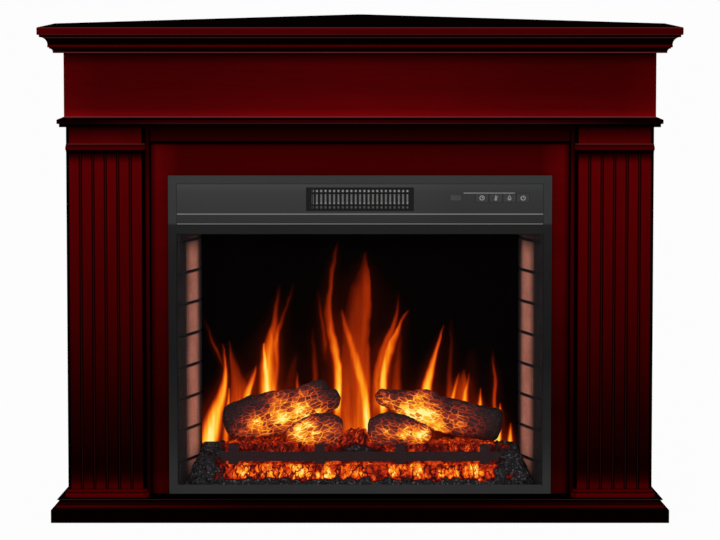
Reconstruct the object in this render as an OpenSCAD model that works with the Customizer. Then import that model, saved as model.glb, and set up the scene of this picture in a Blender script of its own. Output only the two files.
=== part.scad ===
// Corner electric fireplace: a mahogany-finished corner surround round a plug-in firebox.
// Millimetres, +Z up. The origin is on the floor, under the middle of the whole object.
// X runs along the front and Y runs from the front back into the corner of the room.

/* [Surround plan] */
// Width of the frieze, the reference width of the surround
frieze_w = 1088; // [1070:2:1200]
// How far the shelf stands out beyond the frieze
shelf_out = 42.6; // [40:0.2:52]
// Depth of the shelf's end, from its front edge to the room wall
return_depth = 217.5; // [190:0.5:260]
// Angle by which both ends draw in towards the back
side_taper = 3.5; // [1:0.5:5]
// Width of the flat at the back corner of the shelf
apex_flat = 14; // [8:1:30]
// Gap left between the room walls and all boards below the shelf
wall_gap = 8; // [5:1:15]

/* [Surround heights] */
// Height of the plinth boards
plinth_h = 25.5; // [20:0.5:40]
// Thickness of the hearth board
hearth_t = 17.5; // [14:0.5:25]
// Height of the pilasters, from the hearth board to the ledge
pilaster_h = 689; // [680:1:740]
// Height of the ledge between the pilasters and the frieze
ledge_h = 17; // [14:0.5:22]
// Height of the frieze, cornice included
frieze_h = 153.5; // [140:0.5:190]
// Height of the cornice moulding under the shelf
cornice_h = 34; // [28:0.5:42]
// Thickness of the mantel shelf
shelf_t = 14; // [12:0.5:20]

/* [Surround depths] */
// How far the frieze stands out from the face of the pilasters
frieze_proud = 10; // [4:0.5:14]
// How far the ledge stands out from the frieze
ledge_out = 12; // [8:0.5:18]
// How far the hearth board stands out from the pilasters
hearth_out = 26; // [22:0.5:40]
// How far the plinth stands out from the hearth board
plinth_out = 8; // [5:0.5:14]
// Distance from the pilasters' face back to the lintel
lintel_back = 27; // [20:0.5:36]

/* [Boards] */
// Thickness of the boards that make the body
board_t = 12; // [10:0.5:16]
// Thickness of the plinth and rail timbers
rail_t = 18; // [15:0.5:22]
// Height of the rail under the shelf
rail_h = 40; // [30:1:60]

/* [Pilasters] */
// Width of a pilaster
pilaster_w = 145; // [125:1:155]
// Thickness of a pilaster board
pilaster_t = 16; // [14:0.5:20]
// Chamfer on a pilaster's upright edges
pilaster_chamfer = 6; // [3:0.5:9]
// Number of flutes cut in a pilaster
flute_count = 5; // [3:1:7]
// Width of a flute
flute_w = 6; // [3:0.5:8]
// Depth of a flute
flute_depth = 2.5; // [1:0.1:4]
// Distance between the middles of neighbouring flutes
flute_pitch = 23; // [12:0.5:26]
// Height of the plain block above the capital band
block_h = 31.5; // [20:0.5:50]
// Height of the capital band
capital_h = 19; // [12:0.5:26]
// How far the capital band stands out in front
capital_out = 7.6; // [4:0.2:10]
// Height of the lower step at a pilaster's foot
foot_h = 9; // [5:0.5:14]
// Height of the upper step at a pilaster's foot
foot_upper_h = 6; // [4:0.5:12]
// How far the lower foot step stands out in front
foot_out = 9.6; // [6:0.2:12]

/* [Recess] */
// Height of the lintel over the recess
lintel_h = 32; // [20:1:50]
// Width of the stiles beside the recess
stile_w = 9; // [7:0.5:14]
// Radius on the inner edge of the stiles and lintel
bead_r = 4.5; // [2:0.5:5]

/* [Firebox front] */
// Width of the firebox's trim frame
insert_w = 712; // [700:1:730]
// Height of the firebox's trim frame
insert_h = 596; // [590:1:620]
// Thickness of the trim frame
trim_t = 4; // [3:0.5:6]
// Width of the trim frame's bars
trim_bar = 16; // [14:0.5:20]
// Height of the glazed window
window_h = 470; // [450:1:476]
// Height of the bar over the window
header_h = 18; // [14:0.5:24]
// Height of the plain strip under the control panel
strip_h = 19; // [14:0.5:24]
// Thickness of the glass
glass_t = 4; // [3:0.5:6]

/* [Firebox case] */
// Depth of the case behind the front panel's face
case_depth = 216; // [210:1:240]
// Distance by which the trim frame covers the case on each side
trim_cover = 11; // [9:0.5:14]
// Thickness of the sheet metal
sheet_t = 1.2; // [0.8:0.1:2]
// Depth of the fire scene, from the glass to the flame screen
scene_depth = 104; // [100:1:110]
// Distance that each brick side draws in towards the back
brick_splay = 36; // [24:1:44]
// Thickness of the brick panels
brick_t = 8; // [6:0.5:10]
// Height of one brick course
course_h = 59; // [40:1:80]
// Width of the mortar joints
joint_w = 4; // [2:0.5:7]

/* [Controls] */
// Width of a key
key_w = 23.2; // [18:0.1:23.6]
// Height of a key
key_h = 15.4; // [10:0.2:20]
// Travel of a key
key_travel = 0.8; // [0.4:0.1:1.2]
// Distance between the middles of neighbouring cells
key_pitch = 25.4; // [25.2:0.1:27]
// Distance from the centre line to the power key
power_key_x = 302.5; // [290:0.5:305]
// Height of the key row above the bottom of the trim frame
key_row_z = 554.4; // [550:0.2:558]

/* [Heater] */
// Width of the outlet grille
grille_w = 200; // [160:8:240]
// Height of the outlet grille
grille_h = 44; // [36:1:48]
// Distance between grille bars
grille_pitch = 8; // [6:0.5:10]
// Diameter of the blower's rotor
rotor_d = 40; // [30:1:44]
// Number of blades on the rotor
rotor_blades = 18; // [12:1:24]

/* [Flame effect] */
// Diameter across the blades of the flame rod
flame_rod_d = 30; // [20:1:36]
// Radius of the rod's stub shafts
shaft_r = 2.5; // [2:0.25:3]

/* [Fire scene] */
// Height of the ember bed behind the grate
ember_h = 88; // [76:1:100]
// Height of the ember bed's front
ember_front_h = 52; // [40:1:60]
// Height of the grate bar's middle above the case floor
grate_z = 67; // [60:1:74]

/* [Hidden] */
$fn = 48;

clear = 0.3;           // gap between pieces that must not bind
run_clear = 0.05;      // radial gap of a shaft in its bore
end_play = 0.3;        // gap at each end of a shaft
past = 1;              // how far a cutting shape runs past the face that it cuts
mahogany = [0.30, 0.02, 0.03];
dark_mahogany = [0.16, 0.01, 0.02];
raw_board = [0.55, 0.42, 0.30];
black_steel = [0.10, 0.10, 0.10];
grey_steel = [0.22, 0.22, 0.22];
zinc = [0.70, 0.71, 0.73];
brick_red = [0.45, 0.27, 0.22];
ember_orange = [0.75, 0.22, 0.05];
charred = [0.14, 0.11, 0.10];
circuit_green = [0.10, 0.30, 0.14];

// Heights
hearth_top = plinth_h + hearth_t;
ledge_z = hearth_top + pilaster_h;
frieze_z = ledge_z + ledge_h;
shelf_z = frieze_z + frieze_h;
total_h = shelf_z + shelf_t;
cornice_z = shelf_z - cornice_h;

// Depths: the shelf's own depth sets the origin, and every face is stepped back from its front edge
frieze_half = frieze_w / 2;
return_x = frieze_half + (shelf_out - (return_depth - shelf_out) * sin(side_taper)) / cos(side_taper);
shelf_depth = return_depth + return_x - apex_flat / 2;
front_y = -shelf_depth / 2;
frieze_y = front_y + shelf_out;
pilaster_y = frieze_y + frieze_proud;
hearth_y = pilaster_y - hearth_out;
lintel_y = pilaster_y + lintel_back;
panel_y = lintel_y + board_t;
panel_back_y = panel_y + board_t;
wall_sum = front_y + return_depth + return_x;   // x + y all along the right-hand room wall

// Widths
pilaster_outer = side_x(frieze_half, frieze_y, 0, pilaster_y) - 1.5;
pilaster_inner = pilaster_outer - pilaster_w;
hearth_half = pilaster_outer + foot_out + 11.4;

// Firebox
trim_y = panel_y - trim_t;
case_half = insert_w / 2 - trim_cover;
case_h = insert_h - 7;
case_top = hearth_top + case_h;
case_inner = case_half - sheet_t;
case_back_y = panel_y + case_depth;
floor_top = hearth_top + sheet_t;
window_half = insert_w / 2 - trim_bar;
window_z = hearth_top + trim_bar + 0.5;
window_top = window_z + window_h;
strip_z = window_top + header_h;
fascia_z = strip_z + strip_h;
fascia_top = hearth_top + insert_h - trim_bar;
fascia_y = trim_y + 1;
fascia_t = 1.6;
fascia_back_y = fascia_y + fascia_t;
glass_y = panel_y + clear;
scene_y = glass_y + glass_t + clear;
screen_y = scene_y + scene_depth;
screen_t = 3;
screen_back_y = screen_y + screen_t;
ceiling_z = window_top + 4;
brick_front_half = case_inner - brick_t - clear;
brick_back_half = brick_front_half - brick_splay;

// Heater and flame effect
grille_z = (fascia_z + fascia_top) / 2;         // middle of the grille, the rotor and the duct
grille_t = 3;
duct_y = fascia_y + grille_t;
rotor_set = 150;                                 // from the front panel back to the rotor's axis
rotor_y = panel_y + rotor_set;
rotor_l = grille_w - 16;
rotor_x = 4;                                     // the rotor's middle, off centre to leave its motor room
wall_t = 1.5;
housing_r = rotor_d / 2 + 3;
duct_h = grille_h - 8;
bearing_l = 6;
motor_r = 18;
motor_l = 34;
rod_set = 42;                                    // from the flame screen back to the rod's axis
rod_rise = 70;                                   // from the floor tray up to the rod's axis
rod_y = screen_back_y + rod_set;
rod_z = floor_top + rod_rise;
rod_half = 285;
ear_t = 3;
ear_w = 26;
flame_motor_l = 0.43 * (case_inner - rod_half - ear_t);   // the motor fills part of the room beside the ear
flame_motor_r = 0.9 * motor_r;
board_back = 1.6;                                // thickness of a circuit board

// ---------- general shapes ----------

// A box between two values along each axis
module block(x, y, z) {
    translate([x[0], y[0], z[0]]) cube([x[1] - x[0], y[1] - y[0], z[1] - z[0]]);
}

// A rod along X between two values of x
module rod(r, x, y, z) { translate([x[0], y, z]) rotate([0, 90, 0]) cylinder(h = x[1] - x[0], r = r); }

// A rod along Y between two values of y
module pin(r, x, y, z) { translate([x, y[1], z]) rotate([90, 0, 0]) cylinder(h = y[1] - y[0], r = r); }

// A shape drawn in Y and Z, drawn out along X between two values of x
module along_x(x) { translate([x[0], 0, 0]) rotate([90, 0, 90]) linear_extrude(x[1] - x[0]) children(); }

module left_hand() { mirror([1, 0, 0]) children(); }

module both_hands() {
    children();
    left_hand() children();
}

// A solid through a row of outlines. Each outline runs clockwise as seen from beyond the last one,
// and its first point sees all the others.
module swept(outlines) {
    n = len(outlines[0]);
    last = (len(outlines) - 1) * n;
    polyhedron(
        points = [for (outline = outlines) each outline],
        faces = concat(
            [concat([0], [for (i = [n - 1:-1:1]) i])],
            [[for (i = [0:n - 1]) last + i]],
            [for (k = [0:len(outlines) - 2], i = [0:n - 1]) let (a = k * n, b = a + n, j = (i + 1) % n) each
                [[a + i, a + j, b + j], [a + i, b + j, b + i]]]));
}

// Points of a quarter of an ellipse from angle a to a + turn, as [out, z]
function arc(centre, r_out, r_z, a, turn, steps = 5) =
    [for (i = [0:steps]) centre + [r_out * cos(a + turn * i / steps), r_z * sin(a + turn * i / steps)]];

// ---------- plan of the surround ----------

// X of the right-hand end of a layer whose end is out beyond the line through (half_w, y0), at depth y
function side_x(half_w, y0, out, y) = half_w + (out - (y - y0) * sin(side_taper)) / cos(side_taper);
// Front right-hand corner of such a layer
function front_corner(half_w, y0, out) = [side_x(half_w, y0, out, y0 - out), y0 - out];
// Point where that layer's end meets the room wall, less a gap
function wall_corner(half_w, y0, out, gap) =
    let (c = wall_sum - gap * sqrt(2),
         y = (c - half_w - out / cos(side_taper) - y0 * tan(side_taper)) / (1 - tan(side_taper)))
    [c - y, y];
// Outline of a whole layer, clockwise from the front right-hand corner
function plan(half_w, y0, out, gap) =
    let (a = front_corner(half_w, y0, out),
         b = wall_corner(half_w, y0, out, gap),
         f = apex_flat / 2,
         c = wall_sum - gap * sqrt(2) - f)
    [a, [-a.x, a.y], [-b.x, b.y], [-f, c], [f, c], b];

// A board with the surround's plan and a moulded edge: the profile is a list of [out, z], from the bottom up
module moulded_plate(half_w, y0, gap, profile) {
    swept([for (p = profile) [for (q = plan(half_w, y0, p[0], gap)) [q.x, q.y, p[1]]]]);
}

// Moulding along the front with mitred ends: the profile is a list of [out, z], from its top back corner down
module front_moulding(half_w, y0, profile) {
    right = [for (p = profile) let (c = front_corner(half_w, y0, p[0])) [c.x, c.y, p[1]]];
    swept([[for (p = right) [-p.x, p.y, p.z]], right]);
}

// Moulding along the right-hand end, from its mitre to the room wall
module end_moulding(half_w, y0, profile) {
    swept([
        [for (p = profile) let (c = front_corner(half_w, y0, p[0])) [c.x, c.y, p[1]]],
        [for (p = profile) let (c = wall_corner(half_w, y0, p[0], wall_gap)) [c.x, c.y, p[1]]]]);
}

// ---------- surround: base ----------

plinth_profile = [
    [plinth_out - rail_t, plinth_h], [plinth_out - rail_t, 0], [plinth_out, 0],
    [plinth_out, plinth_h - 1.5], [plinth_out - 1.5, plinth_h],
];

module plinth_front() { color(dark_mahogany) front_moulding(hearth_half, hearth_y, plinth_profile); }
module plinth_end() { color(dark_mahogany) end_moulding(hearth_half, hearth_y, plinth_profile); }

// The hearth board's edge: a fillet, a hollow and a thin top fillet
hollow_z = plinth_h + 0.66 * hearth_t;
hollow_r = 0.24 * hearth_t;
hearth_profile = concat(
    [[-1, plinth_h], [0, plinth_h + 1], [0, hollow_z - hollow_r - 0.9], [-0.8, hollow_z - hollow_r - 0.2]],
    arc([-2.6, hollow_z], hollow_r, hollow_r, 270, -180),
    [[-2, hollow_z + hollow_r + 0.4], [-2, hearth_top - 0.8], [-2.8, hearth_top]]);

module hearth_board() {
    color(dark_mahogany) difference() {
        moulded_plate(hearth_half, hearth_y, wall_gap, hearth_profile);
        bracket_pilots();
    }
}

// One rail along the right-hand room wall, from the end board to the back corner
module wall_rail(z, h, half_w, y0, out) {
    outer = wall_corner(half_w, y0, out - clear, wall_gap);
    inner = wall_corner(half_w, y0, out - clear, wall_gap + rail_t);
    c_outer = wall_sum - wall_gap * sqrt(2);
    c_inner = wall_sum - (wall_gap + rail_t) * sqrt(2);
    translate([0, 0, z]) linear_extrude(h)
        polygon([outer, [clear, c_outer - clear], [clear, c_inner - clear], inner]);
}

module wall_rails() {
    color(raw_board) both_hands() {
        wall_rail(0, plinth_h, hearth_half, hearth_y, plinth_out - rail_t);
        wall_rail(shelf_z - rail_h, rail_h, frieze_half, frieze_y, -board_t);
    }
}

// ---------- surround: pilasters ----------

// Front half of the pilaster's plan, grown by g at the sides and by ratio times g in front.
// It starts and ends at depth y1, and runs clockwise.
function pilaster_front(g, ratio, y1) =
    let (c = pilaster_chamfer, k = tan(22.5), x0 = pilaster_inner - g, x1 = pilaster_outer + g,
         y = pilaster_y - ratio * g)
    [[x1, y1], [x1, pilaster_y + c - (ratio - 1 + k) * g], [x1 - c - (1 - k) * g, y],
     [x0 + c + (1 - k) * g, y], [x0, pilaster_y + c - (ratio - 1 + k) * g], [x0, y1]];

foot_top = hearth_top + foot_h + foot_upper_h;
capital_z = ledge_z - block_h - capital_h;

module flutes() {
    r = (flute_w * flute_w / 4 + flute_depth * flute_depth) / (2 * flute_depth);
    for (i = [1:flute_count])
        translate([(pilaster_inner + pilaster_outer) / 2 + (i - (flute_count + 1) / 2) * flute_pitch,
                   pilaster_y + flute_depth - r, foot_top])
            cylinder(h = capital_z - foot_top, r = r);
}

module pilaster() {
    color(mahogany) difference() {
        translate([0, 0, hearth_top]) linear_extrude(pilaster_h)
            polygon(pilaster_front(0, 1, pilaster_y + pilaster_t));
        flutes();
    }
}

// Moulding wrapped round the pilaster's front, to a depth behind its face. The profile is a list of
// [g, z] from its top back corner down, where g = 0 is the pilaster's own surface.
module collar(profile, ratio, wrap) {
    rings = [for (k = [0:5])
        [for (p = profile) let (q = pilaster_front(p[0], ratio, pilaster_y + wrap)[k]) [q.x, q.y, p[1]]]];
    swept([for (k = [5:-1:0]) rings[k]]);
}

capital_side = 1;      // how far the capital band stands out at the sides
slope_h = 0.38 * capital_h;
hollow_h = 0.42 * capital_h;
capital_profile = concat(
    [[0, capital_z + capital_h]], [[0, capital_z]],
    [for (p = arc([capital_side, capital_z], capital_side, hollow_h, 180, -90)) if (p[0] > 0.01) p],
    [[capital_side, capital_z + capital_h - slope_h]]);

module capital() { color(mahogany) collar(capital_profile, capital_out / capital_side, pilaster_t - 4); }

foot_side = 4.6;       // how far the lower foot step stands out at the sides
foot_profile = [
    [0, foot_top], [0, hearth_top], [foot_side, hearth_top], [foot_side, hearth_top + foot_h - 0.8],
    [foot_side - 0.4, hearth_top + foot_h], [foot_side - 1.8, hearth_top + foot_h],
    [foot_side - 1.8, hearth_top + foot_h + 1.5], [foot_side - 3.6, foot_top],
];

module pilaster_foot() { color(mahogany) collar(foot_profile, foot_out / foot_side, pilaster_t - 4); }

// Jamb that closes the pilaster's inner side and carries the bead round the recess
module jamb() {
    x0 = pilaster_inner - stile_w;
    color(mahogany) translate([0, 0, hearth_top]) linear_extrude(pilaster_h) difference() {
        polygon([
            [x0, lintel_y], [pilaster_inner, lintel_y], [pilaster_inner, pilaster_y + pilaster_t],
            [pilaster_inner + board_t, pilaster_y + pilaster_t], [pilaster_inner + board_t, panel_back_y],
            [pilaster_inner, panel_back_y], [pilaster_inner, panel_y], [x0, panel_y],
        ]);
        corner_waste([x0, lintel_y]);
    }
}

// What is cut away to round a square corner at the given point
module corner_waste(at) {
    translate(at) difference() {
        translate([-past, -past]) square(bead_r + past);
        translate([bead_r, bead_r]) circle(r = bead_r);
    }
}

module lintel() {
    half = pilaster_inner - stile_w;
    color(mahogany) along_x([-half, half]) difference() {
        translate([lintel_y, ledge_z - lintel_h]) square([board_t, lintel_h]);
        corner_waste([lintel_y, ledge_z - lintel_h]);
    }
}

// Front panel with the opening that the firebox slides into
module front_panel() {
    gap = 3;
    color(mahogany) difference() {
        block([-pilaster_inner, pilaster_inner], [panel_y, panel_back_y], [hearth_top, ledge_z]);
        block([-case_half - gap, case_half + gap], [panel_y - past, panel_back_y + past],
              [hearth_top - past, case_top + gap]);
        bracket_pilots();
    }
}

// ---------- surround: body and frieze ----------

// Plan of an end board, from a depth back to the room wall
module end_plan(from_y) {
    polygon([
        [side_x(frieze_half, frieze_y, -board_t, from_y), from_y],
        [side_x(frieze_half, frieze_y, 0, from_y), from_y],
        wall_corner(frieze_half, frieze_y, 0, wall_gap),
        wall_corner(frieze_half, frieze_y, -board_t, wall_gap),
    ]);
}

module side_panel() {
    color(mahogany) union() {
        translate([0, 0, hearth_top]) linear_extrude(pilaster_h) end_plan(pilaster_y + pilaster_t);
        translate([0, 0, frieze_z]) linear_extrude(frieze_h) end_plan(frieze_y + board_t);
        translate([0, 0, ledge_z]) linear_extrude(ledge_h) end_plan(panel_back_y);
    }
}

ledge_step = ledge_out - 4;
ledge_mid = ledge_z + 0.36 * ledge_h;
ledge_nose = [
    [ledge_step, ledge_z], [ledge_step, ledge_mid], [ledge_out - 0.8, ledge_mid],
    [ledge_out, ledge_mid + 0.8], [ledge_out, frieze_z - 0.18 * ledge_h],
];

ledge_profile = concat([[0, frieze_z], [0, ledge_z]], ledge_nose);

// A board across the whole front, between two depths
module front_board(y, z, h) {
    x = [for (d = y) side_x(frieze_half, frieze_y, 0, d)];
    translate([0, 0, z]) linear_extrude(h)
        polygon([[-x[0], y[0]], [x[0], y[0]], [x[1], y[1]], [-x[1], y[1]]]);
}

module ledge_front() {
    color(mahogany) union() {
        front_moulding(frieze_half, frieze_y, ledge_profile);
        front_board([frieze_y, panel_back_y - clear], ledge_z, ledge_h);
    }
}

module ledge_end() { color(mahogany) end_moulding(frieze_half, frieze_y, ledge_profile); }

module frieze_board() {
    color(mahogany) difference() {
        front_board([frieze_y, frieze_y + board_t], frieze_z, frieze_h);
        bracket_pilots();
    }
}

// Cornice, from its foot up: a small hollow, a fillet, a bead, the main hollow and a top fillet
cove_foot = cornice_z + 0.46 * cornice_h;
cove_r = 0.42 * cornice_h;
cornice_profile = concat(
    [[0, shelf_z], [0, cornice_z]],
    [[0.4 * shelf_out, cornice_z], [0.4 * shelf_out, cornice_z + 0.05 * cornice_h]],
    arc([0.54 * shelf_out, cornice_z + 0.05 * cornice_h], 0.14 * shelf_out, 0.2 * cornice_h, 180, -90),
    [[0.54 * shelf_out, cornice_z + 0.31 * cornice_h]],
    arc([0.58 * shelf_out, cornice_z + 0.385 * cornice_h], 0.03 * shelf_out, 0.075 * cornice_h, 270, 180),
    arc([0.91 * shelf_out, cove_foot], 0.31 * shelf_out, cove_r, 180, -90, 7),
    [[0.915 * shelf_out, cornice_z + 0.91 * cornice_h], [0.915 * shelf_out, shelf_z]]);

module cornice_front() { color(mahogany) front_moulding(frieze_half, frieze_y, cornice_profile); }
module cornice_end() { color(mahogany) end_moulding(frieze_half, frieze_y, cornice_profile); }

module mantel_shelf() {
    ease = 1;
    color(mahogany) difference() {
        moulded_plate(frieze_half, frieze_y, 0, [
            [shelf_out - ease, shelf_z], [shelf_out, shelf_z + ease],
            [shelf_out, total_h - ease], [shelf_out - ease, total_h],
        ]);
        bracket_pilots();
    }
}

// ---------- brackets and screws ----------

// Angle brackets stand at each place in this list: [x, y of the upright face, z of the flat face, side].
// side = 1 stands on a board below it, and side = -1 hangs from a board above it.
bracket_w = 24;
bracket_leg = 26;
bracket_t = 2;
screw_r = 1.9;
screw_l = 9;
screw_gap = 0.1;
bracket_places = [
    for (x = [-frieze_half * 0.72, -frieze_half * 0.24, frieze_half * 0.24, frieze_half * 0.72])
        [x, frieze_y + board_t, shelf_z, -1],
    for (x = [-1, 1] * (case_half + pilaster_inner + 3) / 2) [x, panel_back_y, hearth_top, 1],
];

module at_brackets() {
    for (p = bracket_places) translate([p[0], p[1], p[2]]) mirror([0, 0, p[3] < 0 ? 1 : 0]) children();
}

// A shape for both screws of one bracket: one into the flat board, one into the upright board
module bracket_shanks(r, l) {
    translate([0, bracket_leg * 0.62, bracket_t - l]) cylinder(h = l, r = r);
    pin(r, 0, [bracket_t - l, bracket_t], bracket_leg * 0.62);
}

module bracket_pilots() { at_brackets() bracket_shanks(screw_r + screw_gap, screw_l + 0.5); }

module steel_brackets() {
    color(zinc) at_brackets() difference() {
        union() {
            block([-bracket_w / 2, bracket_w / 2], [0, bracket_leg], [0, bracket_t]);
            block([-bracket_w / 2, bracket_w / 2], [0, bracket_t], [0, bracket_leg]);
        }
        bracket_shanks(screw_r + screw_gap, screw_l);
    }
}

head_r = 3.8;
head_t = 2;

module fixing_screws() {
    color(zinc) {
        at_brackets() {
            bracket_shanks(screw_r, screw_l);
            translate([0, bracket_leg * 0.62, bracket_t]) cylinder(h = head_t, r = head_r);
            pin(head_r, 0, [bracket_t, bracket_t + head_t], bracket_leg * 0.62);
        }
        for (p = back_screws) {
            pin(screw_r, p[0], [case_back_y - 8, case_back_y + sheet_t], p[1]);
            pin(head_r, p[0], [case_back_y + sheet_t, case_back_y + sheet_t + head_t], p[1]);
        }
    }
}

// ---------- firebox: front ----------

// An opening whose edge slopes outward towards the front
module bevelled_opening(x, z, y0, y1, bevel) {
    block(x, [y0 - past, y1 + past], z);
    swept([for (p = [[bevel + past, y0 - past], [0, y0 + bevel]])
        [[x[0] - p[0], p[1], z[1] + p[0]], [x[0] - p[0], p[1], z[0] - p[0]],
         [x[1] + p[0], p[1], z[0] - p[0]], [x[1] + p[0], p[1], z[1] + p[0]]]]);
}

module trim_frame() {
    bevel = 1.2;
    color(black_steel) difference() {
        block([-insert_w / 2, insert_w / 2], [trim_y, panel_y], [hearth_top, hearth_top + insert_h]);
        bevelled_opening([-window_half, window_half], [window_z, window_top], trim_y, panel_y, bevel);
        bevelled_opening([-window_half, window_half], [strip_z, fascia_top], trim_y, panel_y, bevel);
    }
}

function key_x(i) = power_key_x - (3 - i) * key_pitch;
key_z = hearth_top + key_row_z;
display_set = 49;                                // from the display's middle to the first key's
display_x = key_x(0) - display_set;
display_w = 22;
bead_line_r = 1;

module control_panel() {
    half = window_half - clear;
    color(grey_steel) difference() {
        union() {
            block([-half, half], [fascia_y, fascia_back_y], [strip_z + clear, fascia_top - clear]);
            for (z = [strip_z + clear + bead_line_r, fascia_z])
                rod(bead_line_r, [-half, half], fascia_y, z);
        }
        block([-grille_w / 2, grille_w / 2], [trim_y, panel_y],
              [grille_z - grille_h / 2, grille_z + grille_h / 2]);
        block([display_x - display_w / 2, display_x + display_w / 2], [trim_y, panel_y],
              [key_z - key_h / 2, key_z + key_h / 2]);
        for (i = [0:3])
            block([key_x(i) - key_w / 2 - clear, key_x(i) + key_w / 2 + clear], [trim_y, panel_y],
                  [key_z - key_h / 2 - clear, key_z + key_h / 2 + clear]);
    }
}

// Grille: each bay between bars has a small opening, a long one and another small one
module heater_grille() {
    w = grille_w - 2 * clear;
    h = grille_h - 2 * clear;
    bays = floor((w - 8) / grille_pitch);
    slot_w = 0.55 * grille_pitch;
    rows = [[-0.42, -0.3], [-0.22, 0.22], [0.3, 0.42]] * h;
    color(black_steel) difference() {
        block([-w / 2, w / 2], [fascia_y, fascia_y + grille_t], [grille_z - h / 2, grille_z + h / 2]);
        for (i = [0:bays - 1], row = rows) {
            x = (i - (bays - 1) / 2) * grille_pitch;
            block([x - slot_w / 2, x + slot_w / 2], [trim_y, panel_y],
                  [grille_z + row[0], grille_z + row[1]]);
        }
    }
}

module display_window() {
    color([0.03, 0.05, 0.06])
        block([display_x - display_w / 2 + clear, display_x + display_w / 2 - clear],
              [fascia_y + 0.2, board_y], [key_z - key_h / 2 + clear, key_z + key_h / 2 - clear]);
}

// A key: its head stands a little proud of the panel and a flange behind the panel holds it in
key_proud = 1.4;
flange_rim = 1;
flange_t = 1;
switch_h = 2;
board_y = fascia_back_y + flange_t + key_travel + 0.1 + switch_h;   // front face of the key board

module key(i) {
    c = 1.2;
    x = key_w / 2;
    z = key_h / 2;
    color(grey_steel) translate([key_x(i), 0, key_z]) union() {
        rotate([90, 0, 0]) translate([0, 0, -fascia_back_y]) linear_extrude(fascia_t + key_proud)
            polygon([[-x + c, -z], [x - c, -z], [x, -z + c], [x, z - c],
                     [x - c, z], [-x + c, z], [-x, z - c], [-x, -z + c]]);
        block([-x - flange_rim + clear, x + flange_rim - clear], [fascia_back_y, fascia_back_y + flange_t],
              [-z - flange_rim, z + flange_rim]);
    }
}

module key_board() {
    x0 = display_x - display_w / 2 - 12;
    x1 = key_x(3) + key_w / 2 + 8;
    z0 = key_z - key_h / 2 - 7;
    z1 = key_z + key_h / 2 + 7;
    color(circuit_green) union() {
        block([x0, x1], [board_y, board_y + board_back], [z0, z1]);
        for (i = [0:3])
            block([key_x(i) - 3, key_x(i) + 3], [board_y - switch_h, board_y], [key_z - 3, key_z + 3]);
        for (x = [x0 + 3, x1 - 3], z = [z0 + 3, z1 - 3]) pin(2, x, [fascia_back_y, board_y], z);
    }
}

module glass_pane() {
    color([0.05, 0.06, 0.06, 0.35])
        block([-case_inner + clear, case_inner - clear], [glass_y, glass_y + glass_t],
              [window_z - 8, ceiling_z - clear]);
}

// ---------- firebox: case ----------

back_flange = 14;
back_screws = [
    for (z = [hearth_top + 60, hearth_top + case_h / 2, case_top - 60]) each
        [[-case_half + back_flange / 2, z], [case_half - back_flange / 2, z]],
];

// Wrapper: the roof and both sides, with flanges turned in at the back
module case_wrap() {
    color(black_steel) difference() {
        union() {
            difference() {
                block([-case_half, case_half], [panel_y, case_back_y], [hearth_top, case_top]);
                block([-case_inner, case_inner], [panel_y - past, case_back_y + past],
                      [hearth_top - past, case_top - sheet_t]);
            }
            both_hands() block([case_half - back_flange, case_half], [case_back_y - sheet_t, case_back_y],
                               [floor_top + clear, case_top]);
        }
        for (p = back_screws) pin(screw_r + screw_gap, p[0], [case_back_y - 9, case_back_y + past], p[1]);
    }
}

// Floor tray with two upright ears that carry the flame rod
module case_floor() {
    half = case_inner - clear;
    color(black_steel) difference() {
        union() {
            block([-half, half], [panel_y + 6, case_back_y - sheet_t - clear], [hearth_top, floor_top]);
            both_hands() block([rod_half, rod_half + ear_t], [rod_y - ear_w / 2, rod_y + ear_w / 2],
                               [hearth_top, rod_z + ear_w / 2]);
        }
        rod(rod_shaft_r + run_clear, [-rod_half - ear_t - past, rod_half + ear_t + past], rod_y, rod_z);
    }
}

gland_x = case_half - 60;
gland_z = hearth_top + 48;
gland_r = 9;

module case_back() {
    slots = 9;
    slot_gap = 12;
    color(black_steel) difference() {
        block([-case_half, case_half], [case_back_y, case_back_y + sheet_t], [hearth_top, case_top]);
        for (i = [0:slots - 1], x = [-0.5, 0, 0.5] * case_half)
            block([x - 50, x + 50], [case_back_y - past, case_back_y + 2 * past],
                  [case_top - 30 - i * slot_gap - 4, case_top - 30 - i * slot_gap]);
        for (p = back_screws)
            pin(screw_r + screw_gap, p[0], [case_back_y - past, case_back_y + 2 * past], p[1]);
        pin(gland_r + screw_gap, gland_x, [case_back_y - past, case_back_y + 2 * past], gland_z);
    }
}

module firebox_ceiling() {
    color(black_steel)
        block([-case_inner + clear, case_inner - clear], [glass_y + 0.2, case_back_y - sheet_t - clear],
              [ceiling_z, ceiling_z + sheet_t]);
}

// Brick side: a splayed panel with its joints cut in
module brick_side() {
    joint_d = 1.6;
    top = ceiling_z - clear;
    rows = ceil((top - floor_top) / course_h);
    // plan of a strip of the panel's face, between two fractions of its depth
    function strip(a, b) = let (dy = screen_y - scene_y) [
        [brick_front_half - brick_splay * a - past, scene_y + dy * a],
        [brick_front_half - brick_splay * b - past, scene_y + dy * b],
        [brick_front_half - brick_splay * b + joint_d, scene_y + dy * b],
        [brick_front_half - brick_splay * a + joint_d, scene_y + dy * a]];
    half_joint = joint_w / 2 / scene_depth;
    color(brick_red) difference() {
        translate([0, 0, floor_top]) linear_extrude(top - floor_top) polygon([
            [brick_front_half, scene_y], [brick_back_half, screen_y - clear],
            [brick_back_half + brick_t, screen_y - clear], [brick_front_half + brick_t, scene_y]]);
        for (i = [1:rows]) translate([0, 0, floor_top + i * course_h - joint_w])
            linear_extrude(joint_w) polygon(strip(-0.02, 1.02));
        for (i = [0:rows - 1]) translate([0, 0, floor_top + i * course_h])
            linear_extrude(course_h) polygon(strip(joint_at(i) - half_joint, joint_at(i) + half_joint));
    }
}
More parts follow.
